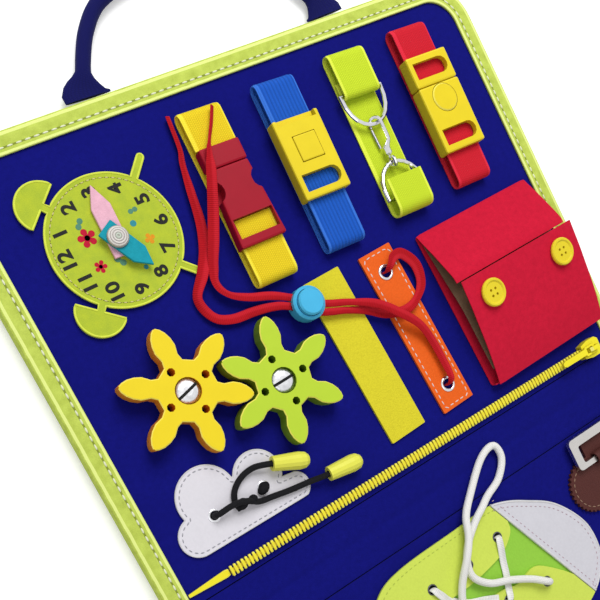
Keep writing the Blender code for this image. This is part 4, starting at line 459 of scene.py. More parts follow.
def rounded_stitch(wires):
    """A grain of thread, twice its unit size each way."""
    grain = wires.add("GeometryNodeMeshUVSphere", {"Segments": 8, "Rings": 5, "Radius": 1.0})
    return wires.add("GeometryNodeTransform", {"Geometry": grain, "Rotation": (0.0, math.pi / 2, 0.0)})


def repeat_tree(name, unit):
    """Lays one small unit, such as a stitch, at every pitch of a line."""
    tree = bpy.data.node_groups.new(name, "GeometryNodeTree")
    kinds = {"Line": "Geometry", "Pitch": "Float", "Length": "Float", "Width": "Float",
             "Thickness": "Float", "Thread": "Material"}
    for label, kind in kinds.items():
        tree.interface.new_socket(label, in_out="INPUT", socket_type="NodeSocket" + kind)
    tree.interface.new_socket("Stitches", in_out="OUTPUT", socket_type="NodeSocketGeometry")
    wires = Wiring(tree)
    given = tree.nodes.new("NodeGroupInput")
    line, pitch, length, width, thickness, thread = (Value(tree, given.outputs[i]) for i in range(6))
    curve = wires.add("GeometryNodeMeshToCurve", {"Mesh": line})
    even = wires.add("GeometryNodeResampleCurve", {"Curve": curve, "Length": pitch}, mode="LENGTH")
    tangent = wires.add("GeometryNodeInputTangent")
    turned_to = wires.add("FunctionNodeAlignRotationToVector", {"Vector": tangent}, axis="X")
    size = wires.add("ShaderNodeCombineXYZ", {"X": length / 2.0, "Y": width / 2.0, "Z": thickness / 2.0})
    laid = {"Points": even, "Instance": unit(wires), "Rotation": turned_to, "Scale": size}
    real = wires.add("GeometryNodeRealizeInstances",
                     {"Geometry": wires.add("GeometryNodeInstanceOnPoints", laid)})
    smooth = wires.add("GeometryNodeSetShadeSmooth", {"Geometry": real})
    finished = wires.add("GeometryNodeSetMaterial", {"Geometry": smooth, "Material": thread})
    tree.links.new(finished.socket, tree.nodes.new("NodeGroupOutput").inputs[0])
    return tree


def grown(name, tree, points, closed, thread, *sizes):
    """Runs a geometry tree along a line and keeps the result as a plain mesh."""
    base = bpy.data.meshes.new(name + "_line")
    last = len(points) - 1
    edges = [(i, i + 1) for i in range(last)] + ([(last, 0)] if closed else [])
    base.from_pydata([tuple(point) for point in points], edges, [])
    holder = put(name + "_base", base)
    modifier = holder.modifiers.new("grow", "NODES")
    modifier.node_group = tree
    labels = {item.name: item.identifier for item in tree.interface.items_tree if item.in_out == "INPUT"}
    for label, value in zip(("Pitch", "Length", "Width", "Thickness", "Thread"), (*sizes, thread)):
        modifier[labels[label]] = value
    mesh = bpy.data.meshes.new_from_object(holder.evaluated_get(bpy.context.evaluated_depsgraph_get()))
    mesh.name = name
    bpy.data.objects.remove(holder)
    return put(name, mesh)


sewn_line = repeat_tree("sewn line", rounded_stitch)


def thread_finish(name, colour):
    """Twisted sewing thread."""
    made = Finish(name, 0.7, sheen=0.03)
    twist = made.noise(0.5 * MM, 3.0)
    return made.done(made.mix(twist, shade(colour, 0.75), colour), twist, 0.1 * MM)


def sew(name, points, thread, body="upper_panel", stitch=(4.2, 2.9, 0.95), closed=False):
    """A row of stitches along points in the row frame. A stitch is its pitch, length and thickness in mm."""
    pitch, length, thick = (size * MM for size in stitch)
    tie(grown(name, sewn_line, points, closed, thread, pitch, length, thick, thick), body)


def sew_flat(name, outline, z, thread, stitch, body="upper_panel", closed=True):
    sew(name, [(x, y, z) for x, y in outline], thread, body, stitch, closed)


pale_thread = thread_finish("pale_binding_thread", (0.9, 0.93, 0.66))
STITCH_IN = BINDING_REACH * 0.7
STITCH_TOP = BINDING_TOP - 0.12 * MM
edge_profile = binding_section()
# Runs round the section of the painted fold highlight, the seam's painted shade and the cut edge highlight.
painted_line_runs = [run_to(edge_profile, reach) for reach in (1.7 * MM, STITCH_IN, BINDING_REACH - 0.7 * MM)]
lime_felt = binding_felt(*painted_line_runs)


def bind(name, stations, profile, body, node=None):
    show(name, swept(stations, profile), lime_felt, node, body)


def sew_binding(name, stations, z, body):
    sew(name, [p + d * STITCH_IN + UP * z for p, d, up in stations], pale_thread, body)


for side, body, half in HALVES:
    whole, short = edge_stations(side), edge_stations(side, SPINE_EDGE + HINGE_LAP)
    bind(half + "_edge_binding", short, edge_profile, body, half + "_binding")
    sew_binding(half + "_face_seam", whole, STITCH_TOP, body)
    sew_binding(half + "_back_seam", short, 0.1 * MM, body)


def edge_run(end, start, stop, steps=12):
    """Stations straight along the left or right edge."""
    places = [start + (stop - start) * i / steps for i in range(steps + 1)]
    return [(Vector((end * BOARD_HALF_WIDTH, y, 0.0)), Vector((-end, 0.0, 0.0)), UP) for y in places]


ENDS = ((-1, "left"), (1, "right"))
for end, label in ENDS:
    bind("spine_edge_" + label, edge_run(end, -BEND_END, BEND_END), edge_profile, "spine",
         "spine_binding_" + label)
    sew_binding("spine_seam_" + label, edge_run(end, -SPINE_REACH, SPINE_REACH)[1:-1], STITCH_TOP, "spine")

# At each fold the outer felt and the outer part of the binding bend from the half to the spine, and the
# binding's upper arm is cut through on the fold line.
CUT_HEIGHT = BINDING_TOP - BINDING_SKIN - 0.02 * MM
outer_profile = edge_profile[:3] + arc(BINDING_BEND, BINDING_BEND, BINDING_BEND, 270.0, 180.0, 4)
outer_profile += [(0.0, CUT_HEIGHT), (BINDING_SKIN, CUT_HEIGHT)]
outer_profile += [p for p in edge_profile[-5:] if p[1] < CUT_HEIGHT]
arm_profile = [(0.0, BINDING_TOP - BINDING_SKIN)] + [p for p in edge_profile if p[1] > CUT_HEIGHT]
fold_section = [(-UNDER, 0.0), (UNDER, 0.0), (UNDER, OUTER_FELT), (-UNDER, OUTER_FELT)]
for side, body, half in HALVES:
    far, near = side * (SPINE_EDGE + HINGE_LAP), side * BEND_END
    bends = (body, "spine", (0.0, far, HINGE_HEIGHT), (0.0, near, HINGE_HEIGHT))
    stations = [(Vector((0.0, far + (near - far) * i / 20, 0.0)), Vector((1.0, 0.0, 0.0)), UP)
                for i in range(21)]
    show(half + "_fold_felt", swept(stations, fold_section), royal_felt, None, bends)
    for end, label in ENDS:
        bind(f"{half}_fold_binding_{label}", edge_run(end, far, near, 20), outer_profile, bends)
        bind(f"{half}_fold_arm_{label}", edge_run(end, far, side * (SPINE_EDGE + SEAM)), arm_profile, body)
        bind(f"{half}_spine_arm_{label}", edge_run(end, near, side * SPINE_REACH), arm_profile, "spine")


# The carrying handles: navy cloth rolled into a soft tube, spread into a flat tab at each end where it
# is sewn into the binding. A seam runs along the inside of each arch.
def curve_at(p0, p1, p2, p3, t):
    return 0.5 * (2 * p1 + (p2 - p0) * t + (2 * p0 - 5 * p1 + 4 * p2 - p3) * t * t
                  + (3 * p1 - p0 - 3 * p2 + p3) * t ** 3)


def smooth_route(points, spacing):
    """A smooth curve through the points, read off at even steps."""
    points = [Vector(point) for point in points]
    ends = [2 * points[0] - points[1], *points, 2 * points[-1] - points[-2]]
    fine = [curve_at(*ends[i - 1:i + 3], j / 16) for i in range(1, len(ends) - 2)
            for j in range(16)] + [ends[-2]]
    lengths = [0.0]
    for a, b in zip(fine, fine[1:]):
        lengths.append(lengths[-1] + (b - a).length)
    count = max(2, round(lengths[-1] / spacing))
    found, k = [], 0
    for i in range(count + 1):
        goal = lengths[-1] * i / count
        while k < len(fine) - 2 and lengths[k + 1] < goal:
            k += 1
        span = lengths[k + 1] - lengths[k]
        found.append(fine[k].lerp(fine[k + 1], (goal - lengths[k]) / span if span else 0.0))
    return found


def tangent_at(points, i):
    return (points[min(i + 1, len(points) - 1)] - points[max(i - 1, 0)]).normalized()


def woven(name, colour, pitch=0.9 * MM, rib=0.0, depth=0.16 * MM, roughness=0.82, selvedge=0.0, pale=None):
    """Cloth woven over and under along the piece's own map. A rib is a cord running the length, and a
    selvedge is the distance between the middles of two edges painted paler as a highlight."""
    made = Finish(name, roughness, sheen=0.02, shine=0.12)
    across, along = made.along_surface()
    warp = (across * (math.pi / pitch)).do("SINE").do("ABSOLUTE")
    shift = (across / pitch).do("FLOOR").do("MODULO", 2.0) * 0.5
    weft = ((along / pitch + shift) * math.pi).do("SINE").do("ABSOLUTE")
    height = warp * 0.45 + weft * 0.55
    if rib:
        height = height * 0.35 + (across * (math.pi / rib)).do("SINE").do("ABSOLUTE") * 0.9
    body = made.mix(height, shade(colour, 0.7), shade(colour, 1.08))
    body = made.mix(made.noise(6.0 * MM, 3.0) * 0.3, body, shade(colour, 0.8))
    # The paler selvedges are a painted highlight.
    if selvedge:
        from_edge = (across / selvedge - 0.5).do("FRACT") - 0.5
        near_edge = from_edge.do("ABSOLUTE") < 1.3 * MM / selvedge
        body = made.mix(near_edge * 0.75, body, pale)
    return made.done(body, height + made.noise(0.4 * MM) * 0.4, depth)


navy_cloth = woven("navy_handle_cloth", (0.0055, 0.0065, 0.095), 0.7 * MM)
HANDLE_HALF_SPAN = 68.0 * MM
HANDLE_RISE = 46.5 * MM
HANDLE_LINE = BOARD_END + 1.9 * MM
HANDLE_ARCH = ((-0.99, 0.1), (-0.91, 0.34), (-0.78, 0.62), (-0.6, 0.84), (-0.3, 0.97), (0.0, 1.0))
TAB_SIZE, TUBE_SIZE = (11.6 * MM, 1.3 * MM), (3.7 * MM, 3.9 * MM)
TAB_LENGTH, TAB_TAPER = 2.0 * MM, 10.0 * MM
CLOTH_ROUND = 4.2 * MM
handle_section = []
for k in range(20):
    angle = math.tau * k / 20
    seam_dip = 0.93 if k in (9, 10, 11) else 1.0
    flattened = 1.0 if abs(math.sin(angle)) < 0.9 else 0.97
    handle_section.append((math.cos(angle) * seam_dip, math.sin(angle) * flattened))
arch = [(HANDLE_HALF_SPAN * u, HANDLE_RISE * v, 0.0) for u, v in HANDLE_ARCH]
arch = [(-HANDLE_HALF_SPAN, 0.0, 0.0)] + arch + [(-x, y, 0.0) for x, y, z in arch[-2::-1]]
arch = smooth_route(arch + [(HANDLE_HALF_SPAN, 0.0, 0.0)], 2.4 * MM)
for side, body in ((-1, "lower_handle"), (1, "upper_handle")):
    stations, scales = [], []
    for i, point in enumerate(arch):
        tangent = tangent_at(arch, i)
        narrow = min(1.0, max(0.0, (point.y - TAB_LENGTH) / TAB_TAPER))
        narrow = narrow * narrow * (3.0 - 2.0 * narrow)
        wide, tall = (tab * (1.0 - narrow) + tube * narrow for tab, tube in zip(TAB_SIZE, TUBE_SIZE))
        pucker = 1.0 + 0.03 * math.sin(i * 2.1) * (1.0 - narrow)
        place = Vector((point.x, side * (HANDLE_LINE + point.y), BINDING_TOP / 2))
        stations.append((place, Vector((tangent.y, -side * tangent.x, 0.0)), UP))
        scales.append((wide * pucker, tall))
    cloth_tube = swept(stations, handle_section, scales=scales)
    handle_piece = show(body + "_cloth", cloth_tube, navy_cloth, body, body)
    for corner in handle_piece.data.uv_layers[0].data:
        corner.uv.x *= CLOTH_ROUND


# The practice dial: two bells, two feet and a round face cut from one sheet of printed lime felt with
# a cut edge painted pale as a highlight, sewn round its rim. The two felt hands turn on a white plastic
# rivet.
def printed_felt():
    """Lime felt with its printed ground a little warmer and unevenly inked."""
    made = Finish("printed_lime_felt", 0.88, sheen=0.02)
    fibres = made.noise(0.5 * MM, 4.0, 0.7)
    inked = (fibres * 0.4 + made.noise(5.0 * MM, 4.0) * 0.6 - 0.3) * 2.4
    return made.done(made.mix(inked, (0.36, 0.47, 0.045), (0.52, 0.6, 0.04)), fibres, 0.12 * MM)


def turn_points(points, angle, x=0.0, y=0.0):
    c, s = math.cos(math.radians(angle)), math.sin(math.radians(angle))
    return [(x + c * u - s * v, y + s * u + c * v) for u, v in points]


DIAL_RADIUS = 31.2 * MM
DIAL_UP = 181.0
SEATED = FELT_TOP + SEAM
DIAL_HIGH = FELT_TOP + 2.0 * MM
BELL, BELL_STEM, BELL_OUT = 11.5 * MM, 1.6 * MM, DIAL_RADIUS + 3.1 * MM
FOOT, FOOT_OUT = 1.5 * MM, DIAL_RADIUS + 10.8 * MM


def dial_shape():
    """The round face, walked out round each bell and each foot."""
    bell = [(BELL_OUT, -BELL_STEM), (BELL_OUT, -BELL)] + arc(BELL_OUT, 0.0, BELL, -84.0, 84.0, 28)
    bell += [(BELL_OUT, BELL), (BELL_OUT, BELL_STEM)]
    foot = [(FOOT_OUT, -FOOT)] + arc(FOOT_OUT, 0.0, FOOT, -60.0, 60.0, 4) + [(FOOT_OUT, FOOT)]
    outline, previous = [], None
    parts = ((-135.0, FOOT, foot), (-49.0, BELL_STEM, bell), (49.0, BELL_STEM, bell), (135.0, FOOT, foot))
    for angle, half, points in parts:
        clear = math.degrees(math.asin(half / DIAL_RADIUS))
        if previous is None:
            first = angle - clear
        else:
            outline += arc(0.0, 0.0, DIAL_RADIUS, previous, angle - clear, 30)
        outline += turn_points(points, angle)
        previous = angle + clear
    return turn_points(outline + arc(0.0, 0.0, DIAL_RADIUS, previous, first + 360.0, 30), DIAL_UP,
                       *DIAL_SPOT)


def direction(outline, i):
    """The way an outline runs past one of its points."""
    before, after = outline[i - 1], outline[(i + 1) % len(outline)]
    return Vector((after[0] - before[0], after[1] - before[1], 0.0)).normalized()


def round_section(radius, sides=12):
    return [(radius * math.cos(math.tau * k / sides), radius * math.sin(math.tau * k / sides))
            for k in range(sides)]


def edge_cord(outline, radius, z):
    """A fine round rim that follows an outline."""
    stations = []
    for i, (x, y) in enumerate(outline):
        along = direction(outline, i)
        stations.append((Vector((x, y, z)), Vector((along.y, -along.x, 0.0)), UP))
    return swept(stations, round_section(radius, 8), loop=True)


dial_outline = dial_shape()
show("dial_felt", plate_mesh(dial_outline, SEATED, DIAL_HIGH, [DIAL_BORE]), printed_felt(),
     "clock_face", edge=0.25 * MM)
# The rim cord along the cut edge is painted pale as a highlight.
rim_highlight_felt = felt("pale_lime_edge", (0.8, 0.9, 0.1), drift=0.08)
shrunk = [(x + (DIAL_SPOT[0] - x) * 0.012, y + (DIAL_SPOT[1] - y) * 0.012) for x, y in dial_outline]
show("dial_edge", edge_cord(shrunk, 0.55 * MM, DIAL_HIGH - 0.15 * MM), rim_highlight_felt)
# The dark row sunk just under the pale seam thread is painted shade of the needle holes between stitches.
for label, name, radius, colour, length, rise in (
    ("seam", "dial_thread", 28.6 * MM, (0.74, 0.66, 0.3), 1.7, 0.02 * MM),
    ("needle_hole_shade", "dial_needle_holes", 28.62 * MM, (0.16, 0.15, 0.04), 2.9, -0.08 * MM),
):
    rim_line = circle(*DIAL_SPOT, radius, 96)
    sew_flat("dial_rim_" + label, rim_line, DIAL_HIGH + rise, thread_finish(name, colour),
             (2.9, length, 0.6))


def plain_finish(name, colour, roughness=0.6, speck=0.5 * MM, depth=0.03 * MM, shine=0.2):
    """Ink, rubber or plastic: a barely uneven colour and a fine surface."""
    made = Finish(name, roughness, shine=shine)
    grains = made.noise(speck, 3.0)
    body = made.mix(made.noise(8.0 * MM), shade(colour, 0.9), colour)
    return made.done(body, grains, depth, grains * 0.12 + (roughness - 0.06))


def on_dial(radius, clock_hour):
    angle = math.radians(DIAL_UP - 30.0 * clock_hour)
    return DIAL_SPOT[0] + radius * MM * math.cos(angle), DIAL_SPOT[1] + radius * MM * math.sin(angle)


NUMERAL_SIZE, NUMERAL_WEIGHT, NUMERAL_WIDTH = 8.8 * MM, 0.3 * MM, 1.12
INK_THICK = 0.1 * MM


def numeral_mesh(words, x, y):
    """A numeral as a thin flat mesh centred on a spot."""
    text = bpy.data.curves.new("numeral", "FONT")
    text.body = words
    text.size = NUMERAL_SIZE
    text.align_x = "CENTER"
    text.align_y = "CENTER"
    text.offset = NUMERAL_WEIGHT
    text.extrude = INK_THICK / 2
    text.resolution_u = 5
    holder = put("numeral", text)
    bpy.context.view_layer.update()
    mesh = bpy.data.meshes.new_from_object(holder.evaluated_get(bpy.context.evaluated_depsgraph_get()))
    upright = Matrix.Rotation(math.radians(DIAL_UP - 90.0), 4, "Z")
    turned = upright @ Matrix.Diagonal((NUMERAL_WIDTH, 1.0, 1.0, 1.0))
    mesh.transform(Matrix.Translation((x, y, DIAL_HIGH + 0.06 * MM)) @ turned)
    bpy.data.objects.remove(holder)
    return mesh


numbers = bmesh.new()
for hour in range(1, 13):
    numbers.from_mesh(numeral_mesh(str(hour), *on_dial(23.9, hour)))
show("dial_numbers", numbers, plain_finish("black_ink", (0.012, 0.012, 0.012), 0.7), smooth=20.0)


def petals(x, y, count, inner, outer, turn, share=0.5):
    """A flower's outline: rounded petals round a spot."""
    outline = []
    for k in range(count * 10):
        angle = math.tau * k / (count * 10)
        radius = (inner + (outer - inner) * abs(math.cos(angle * count / 2)) ** share) * MM
        outline.append((x + radius * math.cos(angle + turn), y + radius * math.sin(angle + turn)))
    return outline


def plates(outlines, low, high):
    """Several flat shapes as one."""
    shape = bmesh.new()
    for outline in outlines:
        shape.from_mesh(to_mesh("part", plate_mesh(outline, low, high)))
    return shape


# A print's row is its place, in mm from the middle and by the clock's hour, and then its petals or, for
# a dot, its steps and radius.
PRINTS = {
    "printed_flower": ((0.6, 0.02, 0.05), ((12.6, 0.9, 5, 1.6, 4.4, 0.4), (14.6, 10.9, 5, 1.0, 3.0, 1.0))),
    "printed_hearts": ((0.85, 0.35, 0.03),
                       ((12.6, 0.9, 12, 1.3), (14.6, 10.9, 12, 0.9), (15.5, 6.7, 4, 0.8, 2.6, 0.2))),
    "printed_leaves": ((0.12, 0.3, 0.2),
                       ((17.0, 1.6, 2, 0.5, 2.8, 0.9, 1.4), (9.6, 9.6, 2, 0.6, 3.0, 2.2, 1.4),
                        (16.4, 4.9, 2, 0.5, 2.4, 0.1, 1.4))),
    "printed_dots": ((0.05, 0.3, 0.36), ((11.5, 5.4, 14, 1.5), (17.5, 8.3, 12, 1.1))),
}
for name, (colour, rows) in PRINTS.items():
    outlines = []
    for radius, hour, count, size, *rest in rows:
        spot = on_dial(radius, hour)
        outlines.append(petals(*spot, count, size, *rest) if rest else circle(*spot, size * MM, count))
    ink = felt(name + "_ink", colour, 0.05 * MM, 0.1)
    show(name, plates(outlines, DIAL_HIGH + 0.01 * MM, DIAL_HIGH + 0.08 * MM), ink)

HAND_LIFT, HAND_GAP, HAND_THICK, HAND_HALF = FELT_TOP + 2.3 * MM, 2.1 * MM, 1.8 * MM, 4.65 * MM
for label, reach, tail, turn, colour, lift, slot in (
    ("minute_hand", 26.0 * MM, 8.0 * MM, -2.0, (0.93, 0.52, 0.64), HAND_LIFT, "pink_felt"),
    ("hour_hand", 19.6 * MM, 7.0 * MM, -152.0, (0.02, 0.36, 0.46), HAND_LIFT + HAND_GAP, "teal_felt"),
):
    shoulder, half = reach * 0.6, HAND_HALF
    outline = [(-half, -tail), (half, -tail), (half, shoulder), (0.0, reach), (-half, shoulder)]
    hand = plate_mesh(turn_points(outline, turn, *DIAL_SPOT), lift, lift + HAND_THICK, [DIAL_BORE])
    show(label + "_piece", hand, felt(label + "_felt", colour, drift=0.1), label, label, 0.4 * MM, 3)


def rivet_plastic():
    """White moulded plastic with turned rings, painted shade in their grooves, and a soft grey-green middle.
    """
    made = Finish("white_rivet_plastic", 0.4, shine=0.25)
    level = made.add("ShaderNodeVectorMath", {0: made.where, 1: (1.0, 1.0, 0.0)}, operation="MULTIPLY")
    away = made.add("ShaderNodeVectorMath", {0: level, 1: (*DIAL_SPOT, 0.0)}, 1, operation="DISTANCE")
    groove = (away * (math.tau / (1.15 * MM))).do("SINE")
    body = made.mix(away < 1.7 * MM, (0.72, 0.68, 0.64), (0.55, 0.62, 0.52))
    # The dark rings where the grooves sink are painted shade.
    return made.done(made.mix(groove > 0.72, body, (0.32, 0.28, 0.26)), groove * -1.0, 0.15 * MM)


def dress(finish, *names):
    """Gives CAD nodes their finish."""
    for name in names:
        nodes[name].data.materials.clear()
        nodes[name].data.materials.append(finish)


dress(rivet_plastic(), "clock_rivet")


# The two gears: thick moulded wheels with six petal teeth and a paler top, each on a shoulder
# screw sunk in a round recess. Their sides are painted a deeper tone as shade, and their rounded top edges
# carry a painted highlight.
def on_edges(upward):
    """Where a rounded edge looks halfway up, for a painted highlight."""
    return (1.0 - (upward - 0.72).do("ABSOLUTE") * 4.5).do("MAXIMUM", 0.0)


def gear_plastic(name, top, side):
    made = Finish(name, 0.45, shine=0.12)
    slow = made.noise(7.0 * MM, 3.0)
    grains = made.noise(0.35 * MM, 3.0)
    upward = made.upward()
    # Faces turned from straight up blend to the side colour as painted shade.
    flatness = ((upward - 0.3) * 1.6).do("MAXIMUM", 0.0).do("MINIMUM", 1.0)
    low, high = made.mix(slow * 0.5, side, shade(side, 0.75)), made.mix(slow * 0.5, top, shade(top, 0.86))
    # Edges halfway up get a pale painted highlight.
    body = made.mix(on_edges(upward) * 0.8, made.mix(flatness, low, high), (1.0, 0.88, 0.16))
    return made.done(body, grains * 0.6 + slow * 0.5, 0.05 * MM, grains * 0.2 + 0.38)


def metal(name, colour, roughness, scratch=0.25):
    made = Finish(name, roughness, metallic=1.0, shine=0.5)
    fine = made.noise(0.3 * MM, 4.0)
    body = made.mix(made.noise(3.0 * MM), shade(colour, 0.88), colour)
    return made.done(body, fine, 0.02 * MM, fine * scratch + (roughness - scratch / 2))


def slotted_steel(top):
    """Plated steel, painted near black below the head's top as shade in the slot."""
    made = Finish("screw_steel", 0.32, metallic=1.0, shine=0.5)
    slow = made.noise(2.0 * MM, 3.0)
    plated = made.mix(slow, (0.5, 0.5, 0.52), (0.78, 0.78, 0.8))
    # Everything below the head's top, the slot included, is painted near black as shade.
    body = made.mix(made.split(made.where)[2] < top, plated, (0.02, 0.02, 0.02))
    return made.done(body, roughness=slow * 0.2 + 0.22)


SLOT_DEPTH = 0.95 * MM
dress(gear_plastic("yellow_gear_plastic", (0.88, 0.68, 0.022), (0.76, 0.26, 0.01)), "yellow_gear")
dress(gear_plastic("green_gear_plastic", (0.5, 0.68, 0.045), (0.16, 0.27, 0.012)), "green_gear")
dress(slotted_steel(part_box("yellow_gear_screw")[1][2] - SLOT_DEPTH), "yellow_gear_screw",
      "green_gear_screw")


# The straps: 22 mm woven webbing sewn flat to the felt and folded back over itself at both ends.
# Strap 2 is ribbed elastic. The selvedges are a little thicker than the middle.
STRAP_PLACES = {1: (-27.3, 174.1, -1.6), 2: (15.1, 174.5, -2.2), 3: (60.1, 175.5, -1.8),
                4: (101.9, 175.9, -1.4)}
WEB_HALF = 11.0 * MM
WEB_SPAN = 2.0 * WEB_HALF
WEB_THICK = 1.2 * MM
WEB_LOW = SEAM + WEB_THICK / 2
STRAP_FAR = 44.0 * MM - WEB_THICK / 2
STRAP_TOP = 7.6 * MM
SEWN_IN = STRAP_FAR - (STRAP_TOP - WEB_LOW) / 2


def axes_at(x, y, turn):
    """(origin, across, forward) of a piece that lies turned on the felt."""
    c, s = math.cos(math.radians(turn)), math.sin(math.radians(turn))
    return Vector((x * MM, y * MM, FELT_TOP)), Vector((c, s, 0.0)), Vector((-s, c, 0.0))


def web_section(half=WEB_HALF, thick=WEB_THICK):
    """Across a webbing: flat faces, a faint hollow, and rounded selvedges."""
    top = []
    for step in range(15):
        u = half * (step / 7 - 1.0)
        share = abs(u) / half
        top.append((u, thick / 2 * (0.9 + 0.1 * (share > 0.8)) if share < 0.98 else thick * 0.24))
    return top + [(u, -h) for u, h in reversed(top)]


def fold_line(v, low, high, side):
    radius = (high - low) / 2
    return [(v + side * (x - radius), y) for x, y in arc(0.0, low + radius, radius, -90.0, 90.0, 14)]


def web_mesh(line, axes, section, step=1.2 * MM):
    """A webbing whose fold follows a line of (along, up) points in its strap's frame."""
    origin, across, forward = axes
    flat = smooth_route([(0.0, v, z) for v, z in line], step)
    stations = []
    for i, point in enumerate(flat):
        tangent = tangent_at(flat, i)
        place = origin + forward * point.y + UP * point.z
        stations.append((place, across, forward * -tangent.z + UP * tangent.y))
    return swept(stations, section)


def spaced(a, b, count):
    return [(a[0] + (b[0] - a[0]) * i / count, a[1] + (b[1] - a[1]) * i / count) for i in range(count + 1)]


def end_fold(side, reach):
    """From the felt up round one end and back over to a buckle's edge."""
    fold = fold_line(side * STRAP_FAR, WEB_LOW, STRAP_TOP, side)
    return fold + spaced(fold[-1], (reach, STRAP_TOP), 10)[1:]


yellow_web = woven("yellow_strap_webbing", (0.84, 0.63, 0.018), 1.0 * MM, selvedge=WEB_SPAN,
                   pale=(1.0, 0.86, 0.06))
blue_web = woven("blue_ribbed_webbing", (0.012, 0.1, 0.52), 0.8 * MM, 2.0 * MM, 0.3 * MM, selvedge=WEB_SPAN,
                 pale=(0.05, 0.2, 0.75))
red_web = woven("red_strap_webbing", (0.64, 0.014, 0.03), 1.0 * MM, selvedge=WEB_SPAN,
                pale=(0.8, 0.03, 0.06))
# Each has the still end's and the sliding end's reach, the side that slides, its buckle half, and how
# far from the fold it is wholly the buckle's.
WEBBINGS = {
    1: ("yellow_webbing", yellow_web, 24.4 * MM, -11.3 * MM, -1, "buckle_1_socket", 24.0 * MM),
    2: ("blue_webbing", blue_web, -5.7 * MM, 23.0 * MM, 1, "buckle_2_latch", 0.0),
    4: ("red_webbing", red_web, -14.1 * MM, 14.1 * MM, 1, "buckle_4_upper_half", 23.0 * MM),
}
for number, (slot, cloth, still, sliding, side, half_body, give) in WEBBINGS.items():
    axes = axes_at(*STRAP_PLACES[number])
    sewn = spaced((side * SEWN_IN, WEB_LOW), (-side * SEWN_IN, WEB_LOW), 16)[:-1] + end_fold(-side, still)
    show(f"strap_{number}_sewn_web", web_mesh(sewn, axes, web_section()), cloth,
         f"strap_{number}_webbing")
    origin, across, forward = axes
    low = origin + forward * side * SEWN_IN + UP * (WEB_LOW + WEB_THICK / 2)
    high = origin + forward * side * (SEWN_IN - give) + UP * (STRAP_TOP - WEB_THICK / 2)
    loose = web_mesh(end_fold(side, sliding), axes, web_section())
    show(f"strap_{number}_loose_web", loose, cloth, None, ("upper_panel", half_body, low, high))

LOWER_LOOP_TOP, UPPER_LOOP_TOP, UPPER_LOOP_LOW = 9.9 * MM, 7.4 * MM, 3.4 * MM
RING_BAR, RING_BEND = 22.4 * MM, 2.0 * MM
lower_fold = fold_line(-STRAP_FAR, WEB_LOW, LOWER_LOOP_TOP, -1)
upper_fold = fold_line(STRAP_FAR, WEB_LOW, UPPER_LOOP_TOP, 1)
ring_strap = spaced((29.3 * MM, UPPER_LOOP_LOW), (22.9 * MM, UPPER_LOOP_LOW), 4)
ring_strap += arc(RING_BAR, UPPER_LOOP_LOW + RING_BEND, RING_BEND, 260.0, 100.0, 8)
ring_strap += spaced((22.8 * MM, UPPER_LOOP_TOP), upper_fold[-1], 8) + upper_fold[-2::-1]
ring_strap += spaced(upper_fold[0], lower_fold[0], 14)[1:-1] + lower_fold
ring_strap += spaced(lower_fold[-1], (-24.5 * MM, LOWER_LOOP_TOP), 6)[1:]
lime_web = woven("lime_strap_webbing", (0.6, 0.76, 0.03), 1.0 * MM, selvedge=WEB_SPAN,
                 pale=(0.84, 0.95, 0.09))
ring_web = web_mesh(ring_strap, axes_at(*STRAP_PLACES[3]), web_section())
show("strap_3_web", ring_web, lime_web, "strap_3_webbing")


# The moulded buckles: a crimson side-release buckle and two yellow press-button buckles, in glossy
# nylon with a fine spark finish, and the chrome rings and snap hook of strap 3.
def moulded(name, colour, roughness=0.42, edge_highlight_colour=None):
    """Moulded plastic with a fine spark finish; given an edge highlight colour, it gets painted shade on its
    sides and a painted highlight on its rounded edges.
    """
    made = Finish(name, roughness, shine=0.15)
    flow = made.noise(10.0 * MM, 3.0)
    spark = made.noise(0.3 * MM)
    body = made.mix(flow, shade(colour, 0.86), colour)
    if edge_highlight_colour:
        upward = made.upward()
        # Sides facing outwards get painted shade, and edges halfway up a painted highlight.
        side = (1.0 - (upward + 0.1).do("ABSOLUTE") * 2.0).do("MAXIMUM", 0.0)
        body = made.mix(side * 0.6, body, shade(colour, 0.55))
        body = made.mix(on_edges(upward) * 0.7, body, edge_highlight_colour)
    return made.done(body, spark * 0.7 + flow * 0.4, 0.035 * MM, spark * 0.2 + (roughness - 0.08))


chrome = metal("chrome_wire", (0.7, 0.7, 0.73), 0.16, 0.1)
dress(moulded("crimson_buckle_plastic", (0.36, 0.005, 0.02), edge_highlight_colour=(0.55, 0.03, 0.06)), "buckle_1_male",
      "buckle_1_female")
dress(moulded("yellow_buckle_plastic", (0.84, 0.66, 0.02), edge_highlight_colour=(1.0, 0.92, 0.18)), "buckle_2_body",
      "buckle_2_tongue", "buckle_2_button", "buckle_4_upper", "buckle_4_lower", "buckle_4_button")
dress(chrome, "d_ring_upper", "d_ring_lower", "snap_hook", "snap_hook_gate")


# The pocket: one sheet of crimson felt turned up at the bottom and folded down at the top as a tongue,
# a tan lining, and a cover that lifts from its bottom edge, with two four-hole buttons.
def felt_section(low, high, thick):
    """Across a felt sheet, with soft cut edges."""
    count = 30
    top = []
    for step in range(count + 1):
        edge = min(1.0, min(step, count - step) + 0.35)
        top.append((low + (high - low) * step / count, thick / 2 * edge))
    return top + [(u, -h) for u, h in reversed(top)]


